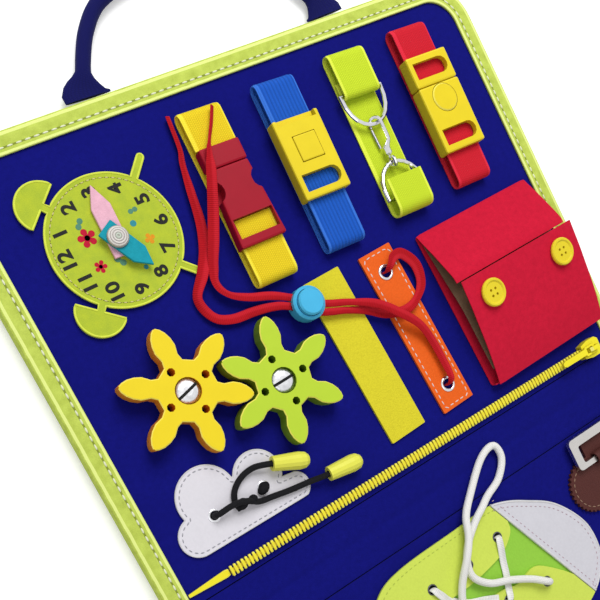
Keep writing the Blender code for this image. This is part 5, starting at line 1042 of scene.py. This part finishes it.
crimson_felt = felt("crimson_felt", (0.66, 0.014, 0.045), drift=0.08)
POCKET_PLACE = (95.3, 77.0, 1.6)
BODY_LINE = ((13.0, 15.4), (16.6, 14.92), (24.0, 11.75), (33.0, 7.6), (40.6, 3.6), (42.4, 2.86),
             (43.6, 1.8), (42.6, 0.96),
             (40.0, 0.9), (20.0, 0.9), (0.0, 0.9), (-20.0, 0.9), (-40.0, 0.9), (-43.2, 0.95), (-44.0, 1.8),
             (-44.08, 3.0),
             (-44.08, 5.0))
LINER_LINE = ((40.0, 2.3), (38.0, 2.3), (36.0, 2.45), (24.0, 4.0), (10.0, 5.9), (0.0, 7.2), (-6.0, 7.32),
              (-20.0, 7.3),
              (-36.0, 7.3))
COVER_LINE = ((-44.8, 6.5), (-38.0, 8.5), (-31.0, 10.35), (-24.0, 11.9), (-16.2, 13.27), (-9.0, 14.5),
              (-2.5, 15.55),
              (5.0, 16.5), (12.4, 17.4))
for name, line, low, high, thick, cloth, slot, node, body in (
    ("pocket_felt", BODY_LINE, -40.0, 40.0, 1.2, crimson_felt, "red_felt", "pocket_body", "upper_panel"),
    ("pocket_lining", LINER_LINE, -38.5, 38.5, 1.0, felt("tan_lining_felt", (0.24, 0.15, 0.09)),
     "tan_felt", "pocket_liner",
     "upper_panel"),
    ("pocket_cover_felt", COVER_LINE, -38.75, 42.75, 1.2, crimson_felt, "red_felt", "pocket_cover",
     "pocket_cover"),
):
    route = [(v * MM, z * MM) for v, z in line]
    sheet = web_mesh(route, axes_at(*POCKET_PLACE), felt_section(low * MM, high * MM, thick * MM))
    show(name, sheet, cloth, node, body)
dress(moulded("yellow_button_plastic", (0.84, 0.68, 0.03), 0.22), "pocket_button_left",
      "pocket_button_right")


# The hook strip: the yellow half of a hook-and-loop fastening, sewn round its edge, with a pile of
# short stiff hooks.
def strip_shape(place, half_width, half_length, corner=0.6 * MM):
    x, y, turn = place
    outline = []
    for cx, cy, start in ((1, -1, -90.0), (1, 1, 0.0), (-1, 1, 90.0), (-1, -1, 180.0)):
        outline += arc(cx * (half_width - corner), cy * (half_length - corner), corner, start,
                       start + 90.0, 3)
    return turn_points(outline, turn, x * MM, y * MM)


def pile_finish(colour):
    made = Finish("yellow_pile", 0.92, sheen=0.03)
    cells = made.cells(0.8 * MM)
    body = made.mix(cells * 0.7 + made.noise(12.0 * MM) * 0.3, colour, shade(colour, 0.8))
    return made.done(body, made.noise(0.5 * MM, 4.0, 0.7) - cells * 0.5, 0.2 * MM)


STRIP_TOP = FELT_TOP + 1.7 * MM
pile = plate_mesh(strip_shape((-3.5, 78.4, 2.9), 11.1 * MM, 45.15 * MM), SEATED, STRIP_TOP)
show("hook_pile_strip", pile, pile_finish((0.79, 0.7, 0.035)), "hook_strip",
     edge=0.4 * MM, segments=3)


# The lacing strip: soft orange leather sewn round its edge with white thread, with a pressed steel
# eyelet near each end.
def leather(name, colour, grain=1.1 * MM, depth=0.16 * MM, roughness=0.55, contrast=0.3):
    made = Finish(name, roughness, shine=0.12)
    cells = made.cells(grain, "SMOOTH_F1")
    body = made.mix(cells * 0.8, colour, shade(colour, 1.0 - contrast))
    body = made.mix(made.noise(9.0 * MM, 3.0) * 0.35, body, shade(colour, 1.15))
    return made.done(body, made.noise(0.4 * MM, 3.0) * 0.3 - cells * 0.9, depth,
                     cells * 0.15 + (roughness - 0.06))


def eyelet_mesh(spots, hole, rim, low, height, steps=28):
    """Rolled steel eyelets: a domed rim that turns down into its hole."""
    shoulder = low + height * 0.62
    middle, half = (hole + rim) / 2, (rim - hole) / 2
    profile = [(hole, low), (hole, shoulder)]
    for k in range(1, 8):
        angle = math.pi * (1.0 - k / 8)
        profile.append((middle + half * math.cos(angle), shoulder + height * 0.38 * math.sin(angle)))
    profile += [(rim, shoulder), (rim, low)]
    shape = bmesh.new()
    for x, y in spots:
        outwards = [Vector((c, s, 0.0)) for c, s in circle(0.0, 0.0, 1.0, steps)]
        swept([(Vector((x, y, 0.0)), out, UP) for out in outwards], profile, loop=True, shape=shape)
    return shape


LACING_PLACE = (30.3, 77.8, 3.0)
EYELETS = turn_points([(0.0, -32.9 * MM), (0.0, 32.9 * MM)], LACING_PLACE[2], LACING_PLACE[0] * MM,
                      LACING_PLACE[1] * MM)
lacing_outline = strip_shape(LACING_PLACE, 10.25 * MM, 45.3 * MM)
lacing = plate_mesh(lacing_outline, SEATED, STRIP_TOP, [circle(x, y, 3.4 * MM) for x, y in EYELETS])
orange_leather = leather("orange_leather", (0.82, 0.125, 0.012), depth=0.1 * MM, contrast=0.2)
show("lacing_leather", lacing, orange_leather, "lacing_strip", edge=0.35 * MM, segments=3)
white_thread = thread_finish("white_thread", (0.82, 0.8, 0.78))
lacing_seam = strip_shape(LACING_PLACE, 8.1 * MM, 43.2 * MM, 1.2 * MM)
sew_flat("lacing_seam", lacing_seam, STRIP_TOP + 0.02 * MM, white_thread, (3.6, 2.4, 0.6))
show("lacing_eyelets", eyelet_mesh(EYELETS, 2.5 * MM, 4.3 * MM, SEATED, 2.2 * MM), chrome)


# The red laces: two lengths of flat woven tape, each from an eyelet of the lacing strip, side by side
# through the cord stopper, and up the left of the straps. Each point has its width and its turn too.
LACE_UPPER = [
    (28.6, 110.7, 0.6, 3.6, 0), (28.6, 110.7, 4.0, 3.6, 0), (30.4, 112.6, 6.4, 3.8, 0),
    (34.6, 115.8, 5.8, 5.0, 0),
    (40.6, 115.2, 4.4, 5.8, 8), (45.4, 107.6, 3.8, 5.8, 12), (43.8, 98.2, 3.8, 4.8, 30),
    (37.3, 92.0, 4.2, 4.4, 45),
    (28.3, 89.2, 4.2, 5.0, 15), (16.9, 92.0, 4.0, 4.8, -10), (6.5, 98.4, 4.4, 4.0, -15),
    (-4.0, 103.0, 5.0, 3.6, 0),
    (-16.2, 107.5, 5.5, 3.8, 0), (-30.2, 116.9, 5.4, 3.8, 0), (-37.0, 120.0, 4.4, 4.2, 0),
    (-46.0, 122.0, 3.0, 4.8, 10),
    (-58.0, 123.4, 2.6, 5.2, 20), (-66.0, 128.0, 2.6, 4.6, 0), (-69.0, 138.5, 3.4, 4.6, -35),
    (-61.4, 147.9, 4.6, 5.6, -25),
    (-54.4, 157.8, 4.0, 5.8, -5), (-49.6, 170.3, 3.0, 5.4, 10), (-46.9, 183.7, 2.8, 4.8, 15),
    (-44.1, 196.9, 2.6, 3.8, 25),
    (-41.6, 204.4, 2.6, 3.2, 30), (-39.6, 219.8, 2.4, 2.8, 30),
]
LACE_LOWER = [
    (32.0, 44.9, 0.6, 3.6, 0), (32.0, 44.9, 4.0, 3.6, 0), (32.9, 47.6, 6.4, 3.8, 0),
    (34.2, 54.9, 4.8, 4.8, 8),
    (33.6, 69.5, 4.6, 5.6, 15), (29.6, 79.8, 7.0, 5.2, 10), (21.4, 89.4, 8.6, 5.0, 0),
    (12.0, 98.6, 8.2, 4.6, -15),
    (0.0, 105.4, 6.2, 3.6, 0), (-13.8, 111.1, 5.5, 3.8, 0), (-27.8, 120.5, 5.4, 3.8, 0),
    (-36.0, 125.2, 4.8, 4.2, 0),
    (-46.0, 129.0, 4.4, 4.6, 20), (-54.4, 134.2, 4.2, 4.8, 35), (-57.6, 141.2, 4.2, 4.6, 20),
    (-55.2, 149.0, 5.4, 5.2, 5),
    (-49.6, 160.0, 7.6, 5.6, 0), (-44.2, 171.0, 9.6, 5.6, 0), (-40.6, 180.0, 12.4, 5.2, 0),
    (-37.2, 188.0, 14.0, 5.0, 0),
    (-33.6, 196.0, 13.8, 3.6, 30), (-31.0, 200.0, 12.7, 2.8, 55), (-28.6, 203.0, 11.3, 2.8, 55),
    (-24.4, 208.6, 10.6, 2.8, 50),
    (-20.4, 215.0, 10.4, 2.8, 50),
]
LACE_THICK = 1.3 * MM


def along_route(route, share):
    """The width and turn that a flat lace has at a share of its way."""
    places = [Vector(point[:3]) for point in route]
    runs = [0.0]
    for a, b in zip(places, places[1:]):
        runs.append(runs[-1] + (b - a).length)
    goal = share * runs[-1]
    k = max(i for i, run in enumerate(runs[:-1]) if run <= goal)
    t = (goal - runs[k]) / (runs[k + 1] - runs[k])
    t = t * t * (3.0 - 2.0 * t)
    return [route[k][i] + (route[k + 1][i] - route[k][i]) * t for i in (3, 4)]


def lace_shape(points, route):
    """A flat tape, thicker at its edges, that lies down where it can and turns over along its way."""
    section = []
    for c, s in round_section(1.0, 20):
        section.append((0.5 * c, LACE_THICK / 2 * s * (0.75 + 0.25 * abs(c))))
    frames, scales = [], []
    side = Vector((1.0, 0.0, 0.0))
    for i, point in enumerate(points):
        tangent = tangent_at(points, i)
        level = tangent.cross(UP)
        if level.length > 0.4:
            level = level if level.dot(side) > 0.0 else -level
            side = side.lerp(level.normalized(), 0.4)
        side = (side - tangent * side.dot(tangent)).normalized()
        width, turn = along_route(route, i / (len(points) - 1))
        leaning = Matrix.Rotation(math.radians(turn), 3, tangent) @ side
        frames.append((point, leaning, tangent.cross(leaning)))
        scales.append((width * MM, 1.0))
    return swept(frames, section, scales=scales)


def round_cord(points, width):
    """A round cord carried along its way without twisting."""
    side = Vector((1.0, 0.15, 0.0))
    frames = []
    for i, point in enumerate(points):
        tangent = tangent_at(points, i)
        side = (side - tangent * side.dot(tangent)).normalized()
        frames.append((point, side, tangent.cross(side)))
    return swept(frames, round_section(width / 2))


def cord_piece(name, route, width, finish, stands_for=None, body="upper_panel"):
    """A free cord along a route: round, or a flat tape where the route gives widths and turns."""
    points = smooth_route([Vector(point[:3]) * MM + UP * FELT_TOP for point in route], 1.4 * MM)
    shape = lace_shape(points, route) if len(route[0]) > 3 else round_cord(points, width)
    piece = show(name, shape, finish, stands_for, body)
    length = sum((b - a).length for a, b in zip(points, points[1:]))


def tape_weave(name, colour, pale):
    """Ribbed lace tape: fine cross ribs, darker folds and a painted highlight along both edges."""
    made = Finish(name, 0.85, sheen=0.02, shine=0.1)
    across, along = made.along_surface()
    ribs = (along * (math.pi / (0.9 * MM))).do("SINE").do("ABSOLUTE")
    from_edge = (across + 0.25).do("FRACT") - 0.5
    slow = made.noise(7.0 * MM, 3.0)
    body = made.mix(ribs * 0.4 + slow * 0.5, shade(colour, 0.6), shade(colour, 1.1))
    # The paler edges are a painted highlight.
    near_edge = (from_edge.do("ABSOLUTE") - 0.18).do("MAXIMUM", 0.0) * 3.0
    return made.done(made.mix(near_edge.do("MINIMUM", 0.6), body, pale), ribs + slow, 0.12 * MM)


red_lace = tape_weave("red_lace_weave", (0.5, 0.008, 0.016), (0.64, 0.02, 0.035))
cord_piece("lace_a", LACE_UPPER, 5.8 * MM, red_lace, "lace_upper")
cord_piece("lace_b", LACE_LOWER, 5.6 * MM, red_lace, "lace_lower")
dress(moulded("sky_stopper_plastic", (0.075, 0.49, 0.8), 0.32), "stopper_barrel", "stopper_plunger")


# The cloud: a patch of white soft leather sewn round its edge in grey, with two eyelets for the black
# elastic cords, which end in soft yellow bell stops.
CLOUD_SPOT = (-97.0 * MM, 46.0 * MM)
CLOUD_WIDTH = 70.0 * MM
CLOUD_FLOOR = 13.0 * MM
CLOUD_TOP = FELT_TOP + 1.5 * MM
CLOUD_LOBES = ((-0.35, -0.047, 0.139), (-0.179, 0.15, 0.214), (0.2, 0.107, 0.176), (0.407, -0.093, 0.104))


def cloud_shape(inset=0.0, steps=168):
    outline = []
    for step in range(steps):
        angle = math.tau * step / steps
        c, s = math.cos(angle), math.sin(angle)
        reach = CLOUD_FLOOR - inset
        for u, v, share in CLOUD_LOBES:
            x, y, radius = u * CLOUD_WIDTH, v * CLOUD_WIDTH, share * CLOUD_WIDTH - inset
            aside = abs(y * c - x * s)
            if aside < radius:
                reach = max(reach, x * c + y * s + math.sqrt(radius * radius - aside * aside))
        if s < 0.0:
            foot = (CLOUD_FLOOR - inset) / -s
            on_base = CLOUD_LOBES[0][0] * CLOUD_WIDTH <= foot * c <= CLOUD_LOBES[-1][0] * CLOUD_WIDTH
            reach = foot if on_base else min(reach, foot)
        outline.append((CLOUD_SPOT[0] + reach * c, CLOUD_SPOT[1] + reach * s))
    return outline


cloud_eyes = [(CLOUD_SPOT[0] + side * 13.7 * MM, CLOUD_SPOT[1] + 1.3 * MM) for side in (-1, 1)]
white_leather = leather("white_soft_leather", (0.72, 0.7, 0.75), 1.4 * MM, 0.05 * MM, 0.5, 0.08)
cloud = plate_mesh(cloud_shape(), SEATED, CLOUD_TOP, [circle(x, y, 2.2 * MM) for x, y in cloud_eyes])
show("cloud_leather", cloud, white_leather, "cloud_patch", edge=0.35 * MM, segments=3)
grey_thread = thread_finish("grey_thread", (0.42, 0.42, 0.46))
sew_flat("cloud_seam", cloud_shape(2.0 * MM), CLOUD_TOP + 0.03 * MM, grey_thread, (2.9, 1.9, 0.6))
white_edge = felt("white_cut_edge", (0.78, 0.77, 0.78), drift=0.05)
show("cloud_edge", edge_cord(cloud_shape(0.35 * MM), 0.4 * MM, CLOUD_TOP - 0.25 * MM), white_edge)
show("cloud_eyelets", eyelet_mesh(cloud_eyes, 1.75 * MM, 3.1 * MM, CLOUD_TOP - 0.05 * MM, 0.55 * MM),
     chrome)

ELASTIC_A = [
    (-98.8, 43.6, 3.4), (-99.4, 48.6, 3.4), (-96.6, 53.4, 3.4), (-91.0, 56.8, 3.6), (-84.6, 57.9, 4.8),
    (-78.6, 56.4, 6.3), (-74.6, 54.8, 6.3), (-70.6, 53.2, 6.3),
]
ELASTIC_B = [
    (-110.7, 47.3, 0.4), (-110.7, 47.3, 3.4), (-108.9, 47.3, 5.6), (-103.4, 47.8, 6.8), (-98.6, 47.4, 7.6),
    (-93.4, 45.2, 6.4), (-89.0, 42.6, 3.8), (-81.0, 41.2, 3.6), (-73.1, 39.8, 3.6), (-62.4, 38.5, 4.2),
    (-54.6, 37.3, 5.0), (-50.6, 36.9, 5.0), (-46.6, 36.5, 5.0),
]
black_elastic = woven("black_elastic_braid", (0.008, 0.008, 0.01), 0.8 * MM, 0.0, 0.25 * MM, 0.7)
for label, route in (("a", ELASTIC_A), ("b", ELASTIC_B)):
    cord_piece("elastic_cord_" + label, route, 3.0 * MM, black_elastic,
               "elastic_" + label)
KNOTS = ((-84.0, 46.9, 11.0, 7.2, 5.0, 4.2), (-97.2, 45.8, 12.8, 6.0, 5.2, 4.8),
         (-91.8, 45.2, 13.0, 5.0, 4.4, 4.6))
knots = bmesh.new()
for x, y, z, wide, deep, tall in KNOTS:
    size = Matrix.Diagonal((wide * MM / 2, deep * MM / 2, tall * MM / 2, 1.0))
    turned = Matrix.Translation(Vector((x, y, z)) * MM) @ Matrix.Rotation(math.radians(25.0), 4, "Z") @ size
    bmesh.ops.create_uvsphere(knots, u_segments=16, v_segments=10, radius=1.0, matrix=turned, calc_uvs=True)
black_knot = plain_finish("black_knot", (0.008, 0.008, 0.01), 0.75, 0.4 * MM, 0.2 * MM, 0.1)
show("elastic_knots", knots, black_knot)
dress(moulded("pale_yellow_stop_plastic", (0.83, 0.82, 0.1), 0.35), "cord_end_a", "cord_end_b")


# The zip: chunky moulded teeth clamped on the edge of a sewn-in tape, a moulded slider, and a pull that
# swings on the slider's crown.
zip_plastic = moulded("yellow_zip_plastic", (0.93, 0.82, 0.03), 0.4, (1.0, 0.97, 0.3))
dress(zip_plastic, "zip_slider", "zip_pull")
ZIP_LINE = 21.3 * MM
ZIP_FROM, ZIP_TO, ZIP_TAIL_END = -116.0 * MM, 131.0 * MM, -138.8 * MM
TOOTH_LOW, TOOTH_TOP = FELT_TOP + 1.5 * MM, FELT_TOP + 3.25 * MM


def rounded_tooth(wires):
    """A moulded tooth with softened corners, twice its unit size each way."""
    block = wires.add("GeometryNodeMeshCube", {"Size": (2.0, 2.0, 2.0)})
    return wires.add("GeometryNodeSubdivisionSurface", {"Mesh": block, "Level": 2, "Edge Crease": 0.72})


middle = (TOOTH_LOW + TOOTH_TOP) / 2
tooth_line = [(ZIP_FROM, ZIP_LINE, middle), (ZIP_TO, ZIP_LINE, middle)]
teeth = grown("zip_teeth", repeat_tree("zip teeth", rounded_tooth), tooth_line, False, zip_plastic,
              2.1 * MM, 1.3 * MM, 5.1 * MM, TOOTH_TOP - TOOTH_LOW)
tie(teeth, "upper_panel")
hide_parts("zip_chain")


def along_zip(points):
    """Round a strip along the zip, from (x, half width) points along one side of it."""
    near = [(x, ZIP_LINE - half) for x, half in points]
    return near + [(x, ZIP_LINE + half) for x, half in reversed(points)]


tape_yellow = moulded("yellow_zip_tape", (0.6, 0.45, 0.02), 0.7)
tape_edge = along_zip([(ZIP_FROM - 0.5 * MM, 1.0 * MM), (ZIP_TO + 0.5 * MM, 1.0 * MM)])
show("zip_tape_edge", plate_mesh(tape_edge, SEATED, FELT_TOP + 2.6 * MM), tape_yellow)
tail = along_zip([(ZIP_TAIL_END, 0.8 * MM), (ZIP_FROM - 3.0 * MM, 1.9 * MM),
                  (ZIP_FROM - 1.0 * MM, 1.6 * MM)])
show("zip_tail", plate_mesh(tail, FELT_TOP + 0.2 * MM, FELT_TOP + 1.4 * MM), zip_plastic,
     edge=0.35 * MM)


# The shoe: a green tongue layer, lime quarters with six punched eyelets, and a white toe cap, cut from
# soft leather and sewn to the lower half.
SHOE_SPOT = (-2.0 * MM, -63.0 * MM)
SHOE_LENGTH = 148.0 * MM
SHOE_LOW = FELT_TOP + 1.8 * MM
SHOE_HIGH = FELT_TOP + 3.0 * MM
TONGUE_TOP = FELT_TOP + 1.5 * MM
SOLE = ((0.301, 0.219), (0.216, 0.262), (0.135, 0.280), (-0.014, 0.276), (-0.264, 0.269), (-0.385, 0.230),
        (-0.473, 0.122), (-0.500, 0.007), (-0.459, -0.128), (-0.338, -0.230), (-0.054, -0.277),
        (0.216, -0.277), (0.378, -0.230), (0.461, -0.167), (0.499, -0.094), (0.491, 0.024), (0.409, 0.146))
THROAT = ((0.196, 0.230), (0.193, 0.196), (0.181, 0.154), (0.120, 0.111), (0.034, 0.091), (-0.077, 0.080),
          (-0.291, 0.081), (-0.338, 0.041), (-0.291, 0.000), (0.028, -0.002), (0.114, -0.018),
          (0.198, -0.002), (0.255, -0.030), (0.352, -0.126), (0.420, -0.240), (0.330, 0.060))
SHOE_EYES = ((0.125, 0.168), (-0.028, 0.145), (-0.194, 0.147), (0.228, -0.076), (0.052, -0.047),
             (-0.122, -0.047))


def shoe_points(shares):
    return [(SHOE_SPOT[0] + u * SHOE_LENGTH, SHOE_SPOT[1] + v * SHOE_LENGTH) for u, v in shares]


def smooth_ring(points, steps):
    points = [Vector(point) for point in points]
    found = []
    for i in range(len(points)):
        four = [points[(i + k) % len(points)] for k in (-1, 0, 1, 2)]
        found += [tuple(curve_at(*four, j / steps)) for j in range(steps)]
    return found


def clipped(outline, a, b, keep):
    """The part of an outline on one side of a line: keep is 1 for its left."""
    found = []
    depths = [keep * ((b[0] - a[0]) * (y - a[1]) - (b[1] - a[1]) * (x - a[0])) for x, y in outline]
    for i, p in enumerate(outline):
        j = (i + 1) % len(outline)
        q, at_p, at_q = outline[j], depths[i], depths[j]
        if at_p >= 0.0:
            found.append(p)
        if (at_p >= 0.0) != (at_q >= 0.0):
            t = at_p / (at_p - at_q)
            found.append((p[0] + t * (q[0] - p[0]), p[1] + t * (q[1] - p[1])))
    return found


def drawn_in(outline, reach):
    """An outline turned to the left and moved in from its edge by a distance."""
    area = sum(a[0] * b[1] - b[0] * a[1] for a, b in zip(outline, outline[1:] + outline[:1]))
    outline = outline if area > 0.0 else outline[::-1]
    found = []
    for i, (x, y) in enumerate(outline):
        along = direction(outline, i)
        found.append((x - along.y * reach, y + along.x * reach))
    return found


def cut_with(piece, outline):
    """Takes a shape out of the shoe's upper for good."""
    punch = put("punch", to_mesh("punch", plate_mesh(outline, SHOE_LOW - 0.5 * MM, SHOE_HIGH + 2.0 * MM)))
    boolean = piece.modifiers.new("punch", "BOOLEAN")
    boolean.operation = "DIFFERENCE"
    boolean.solver = "EXACT"
    boolean.object = punch
    done = bpy.data.meshes.new_from_object(piece.evaluated_get(bpy.context.evaluated_depsgraph_get()))
    piece.modifiers.remove(boolean)
    piece.data = done
    bpy.data.objects.remove(punch)


sole = smooth_ring(shoe_points(SOLE), 8)
inner_sole = [(SHOE_SPOT[0] + (x - SHOE_SPOT[0]) * 0.97, SHOE_SPOT[1] + (y - SHOE_SPOT[1]) * 0.97)
              for x, y in sole]
green_leather = leather("green_soft_leather", (0.3, 0.6, 0.06), depth=0.08 * MM, contrast=0.15)
show("shoe_tongue_leather", plate_mesh(inner_sole, SEATED, TONGUE_TOP), green_leather,
     "shoe_tongue", "lower_panel", 0.3 * MM)
toe_a, toe_b = (Vector(point) for point in shoe_points(((0.196, 0.196), (0.392, -0.209))))
toe = clipped(sole, toe_a, toe_b, 1)
grey_leather = leather("pale_grey_leather", (0.64, 0.63, 0.68), 1.4 * MM, 0.06 * MM, 0.55, 0.1)
show("shoe_toe_leather", plate_mesh(toe, SHOE_LOW, SHOE_HIGH), grey_leather, "shoe_toe_cap",
     "lower_panel", 0.35 * MM, 3)
toe_white = felt("white_toe_edge", (0.8, 0.79, 0.8), drift=0.05)
toe_rim = edge_cord(drawn_in(toe, 0.5 * MM), 0.6 * MM, SHOE_HIGH - 0.2 * MM)
show("shoe_toe_edge", toe_rim, toe_white, None, "lower_panel")
rose_thread = thread_finish("rose_thread", (0.55, 0.4, 0.45))
sew_flat("shoe_toe_seam", drawn_in(toe, 3.2 * MM), SHOE_HIGH + 0.02 * MM, rose_thread,
         (3.0, 1.5, 0.5), "lower_panel")

toe_way = (toe_b - toe_a).normalized() * 0.5 * MM
gap = Vector((toe_way.y, -toe_way.x))
quarters = clipped(sole, toe_a + gap, toe_b + gap, -1)
upper = put("shoe_quarters_leather",
            to_mesh("shoe_quarters_leather", plate_mesh(quarters, SHOE_LOW, SHOE_HIGH)))
shoe_eyes = shoe_points(SHOE_EYES)
for outline in (smooth_ring(shoe_points(THROAT), 5), *(circle(x, y, 2.4 * MM) for x, y in shoe_eyes)):
    cut_with(upper, outline)
lime_leather = leather("lime_soft_leather", (0.62, 0.74, 0.105), depth=0.08 * MM, contrast=0.12)
show("shoe_quarters_leather", upper, lime_leather, "shoe_upper", "lower_panel", 0.3 * MM)
seam_end = SHOE_SPOT[0] + 0.16 * SHOE_LENGTH
sole_seam = [p for p in drawn_in(sole, 3.0 * MM) if p[0] < seam_end]
sole_seam.sort(key=lambda p: math.atan2(p[1] - SHOE_SPOT[1], seam_end - p[0]))
lime_thread = thread_finish("lime_thread", (0.5, 0.6, 0.1))
sew_flat("shoe_quarters_seam", sole_seam, SHOE_HIGH + 0.02 * MM, lime_thread, (3.0, 1.8, 0.5),
         "lower_panel", False)
# The eyelet rings' dark tone and the dark discs under them are painted shade in the holes.
shade_dark_ring = metal("shade_dark_eyelet_metal", (0.12, 0.12, 0.13), 0.4)
shoe_rims = eyelet_mesh(shoe_eyes, 2.15 * MM, 2.95 * MM, SHOE_LOW + 0.1 * MM, 1.5 * MM)
show("shoe_eyelets", shoe_rims, shade_dark_ring, None, "lower_panel")
shadows = plates([circle(x, y, 2.3 * MM, 16) for x, y in shoe_eyes], TONGUE_TOP + 0.02 * MM,
                 TONGUE_TOP + 0.2 * MM)
show("shoe_holes", shadows, plain_finish("hole_shadow", (0.01, 0.012, 0.01), 0.9), None,
     "lower_panel")

SHOE_LACE = [
    (31.7, -74.2, 2.0), (31.7, -74.2, 5.2), (28.6, -72.0, 7.6), (22.0, -66.8, 6.0), (11.0, -60.6, 5.6),
    (-1.0, -55.4, 5.6), (-8.2, -47.4, 5.6), (-7.4, -38.6, 5.8), (-1.3, -30.3, 5.7), (7.6, -23.4, 5.7),
    (15.0, -19.4, 5.5), (21.6, -16.2, 4.4), (32.9, -12.0, 3.2), (40.5, -3.4, 3.0), (39.0, 4.6, 3.0),
    (28.4, 1.9, 3.2), (12.7, -10.4, 4.4), (3.0, -18.0, 7.4), (-2.6, -27.0, 10.2), (-9.6, -36.0, 10.6),
    (-16.6, -46.0, 7.8), (-20.6, -56.0, 6.2), (-20.4, -65.4, 8.0), (-20.1, -70.0, 6.4), (-20.1, -70.0, 2.4),
]
LACE_ROWS = {
    "lace_row_toe": [
        (16.5, -38.1, 1.9, 3.4, 0), (16.5, -38.1, 4.2, 3.4, 0), (15.6, -40.6, 4.6, 4.0, 0),
        (14.6, -45.2, 3.9, 4.2, 0), (13.4, -51.0, 2.6, 4.2, 0), (11.6, -58.0, 2.4, 4.2, 0),
        (8.8, -64.6, 3.0, 4.2, 0), (6.9, -68.0, 4.4, 4.0, 0), (5.7, -70.0, 4.2, 3.2, 0),
        (5.7, -70.0, 1.9, 3.2, 0),
    ],
    "lace_row_heel": [
        (-30.7, -41.2, 1.9, 3.4, 0), (-30.7, -41.2, 4.2, 3.4, 0), (-29.8, -43.4, 4.6, 4.0, 0),
        (-27.6, -47.4, 3.9, 4.2, 0), (-24.6, -51.8, 2.6, 4.2, 0), (-15.6, -58.6, 2.4, 4.2, 0),
        (-6.6, -62.4, 2.4, 4.2, 0), (0.4, -65.6, 3.6, 4.2, 0),
    ],
}
LACE_BENDS = ("lower_panel", "spine", (0.0, -24.0 * MM, HINGE_HEIGHT), (0.0, -11.0 * MM, HINGE_HEIGHT))
white_lace = woven("white_lace_braid", (0.9, 0.89, 0.86), 0.9 * MM, 0.0, 0.15 * MM)
cord_piece("shoe_lace_cord", SHOE_LACE, 4.0 * MM, white_lace, "shoe_lace",
           LACE_BENDS)
white_tape = tape_weave("white_lace_tape", (0.9, 0.89, 0.86), (0.93, 0.92, 0.9))
for name, route in LACE_ROWS.items():
    cord_piece(name, route, 4.2 * MM, white_tape, body="lower_panel")


# The belt: a scalloped patch of dark brown leather sewn round its edge, with a steel frame buckle on
# its neck, held by a narrow leather loop.
BELT_SPOT = (101.0 * MM, -45.0 * MM)
BELT_TOP = FELT_TOP + 2.3 * MM
BELT_HALF, BELT_RADIUS, SCALLOP = 14.5 * MM, 15.5 * MM, 0.6 * MM
NECK, NECK_TOP = 10.5 * MM, -18.5 * MM - BELT_SPOT[1]


def belt_ring(radius, steps):
    right = arc(BELT_HALF, 0.0, radius, -90.0, 90.0, steps)
    return right + arc(-BELT_HALF, 0.0, radius, 90.0, 270.0, steps)


belt_outline = []
for i, (x, y) in enumerate(belt_ring(BELT_RADIUS, 136)):
    centre = math.copysign(BELT_HALF, x)
    inward = SCALLOP * (1.0 - math.cos(i * math.pi / 4)) / math.hypot(x - centre, y)
    x, y = x - (x - centre) * inward, y - y * inward
    if abs(x) >= NECK or y <= 0.0:
        belt_outline.append((x, y))
split = next(i for i, (x, y) in enumerate(belt_outline) if x <= -NECK and y > 0.0)
belt_outline[split:split] = [(NECK, 15.0 * MM), (NECK, NECK_TOP), (-NECK, NECK_TOP), (-NECK, 15.0 * MM)]
belt_outline = turn_points(belt_outline, 0.0, *BELT_SPOT)
brown_leather = leather("brown_leather", (0.085, 0.026, 0.022), 0.9 * MM, 0.2 * MM)
show("belt_leather_patch", plate_mesh(belt_outline, SEATED, BELT_TOP), brown_leather,
     "belt_leather", "lower_panel", 0.4 * MM, 3)
belt_seam = turn_points(belt_ring(12.4 * MM, 40), 0.0, *BELT_SPOT)
tan_thread = thread_finish("tan_thread", (0.35, 0.22, 0.15))
sew_flat("belt_seam", belt_seam, BELT_TOP + 0.03 * MM, tan_thread, (3.2, 2.2, 0.6), "lower_panel")
LOOP_Y, LOOP_AXIS = -32.8 * MM, 12.585 * MM
LOOP_HALF, LOOP_WALL, LOOP_BORE = 7.0 * MM, 1.3 * MM, 2.135 * MM
LOOP_LOW = FELT_TOP + 2.2 * MM
bow = LOOP_BORE + LOOP_WALL / 2
loop_line = [(-bow, LOOP_LOW), (-bow, LOOP_AXIS - 0.4 * MM)] + arc(0.0, LOOP_AXIS, bow, 180.0, 0.0, 16)
loop_line += [(bow, LOOP_AXIS - 0.4 * MM), (bow, LOOP_LOW)]
loop_axes = (Vector((BELT_SPOT[0], LOOP_Y, 0.0)), Vector((1.0, 0.0, 0.0)), Vector((0.0, 1.0, 0.0)))
loop_mesh = web_mesh(loop_line, loop_axes, web_section(LOOP_HALF, LOOP_WALL), 0.5 * MM)
show("belt_loop", loop_mesh, brown_leather, None, "lower_panel")
dress(metal("nickel_frame", (0.62, 0.6, 0.58), 0.3), "belt_buckle")


# The floor under the board: matt white paper, a little brighter to the camera than it is lit.
FLOOR_REACH, FLOOR_DROP = 4.0, -0.4 * MM
floor_mesh = bpy.data.meshes.new("floor")
floor_corners = [(x * FLOOR_REACH, y * FLOOR_REACH, FLOOR_DROP)
                 for x, y in ((-1, -1), (1, -1), (1, 1), (-1, 1))]
floor_mesh.from_pydata(floor_corners, [], [(0, 1, 2, 3)])
floor = put("floor", floor_mesh)
paper = Finish("floor_paper", 1.0, shine=0.0)
paper.set("Base Color", (0.9, 0.9, 0.9, 1.0))
paper.set("Emission Color", (0.3, 0.3, 0.3, 1.0))
to_camera = paper.add("ShaderNodeLightPath", output="Is Camera Ray")
paper.tree.links.new(to_camera.socket, paper.shader.inputs["Emission Strength"])
floor_mesh.materials.append(paper.material)
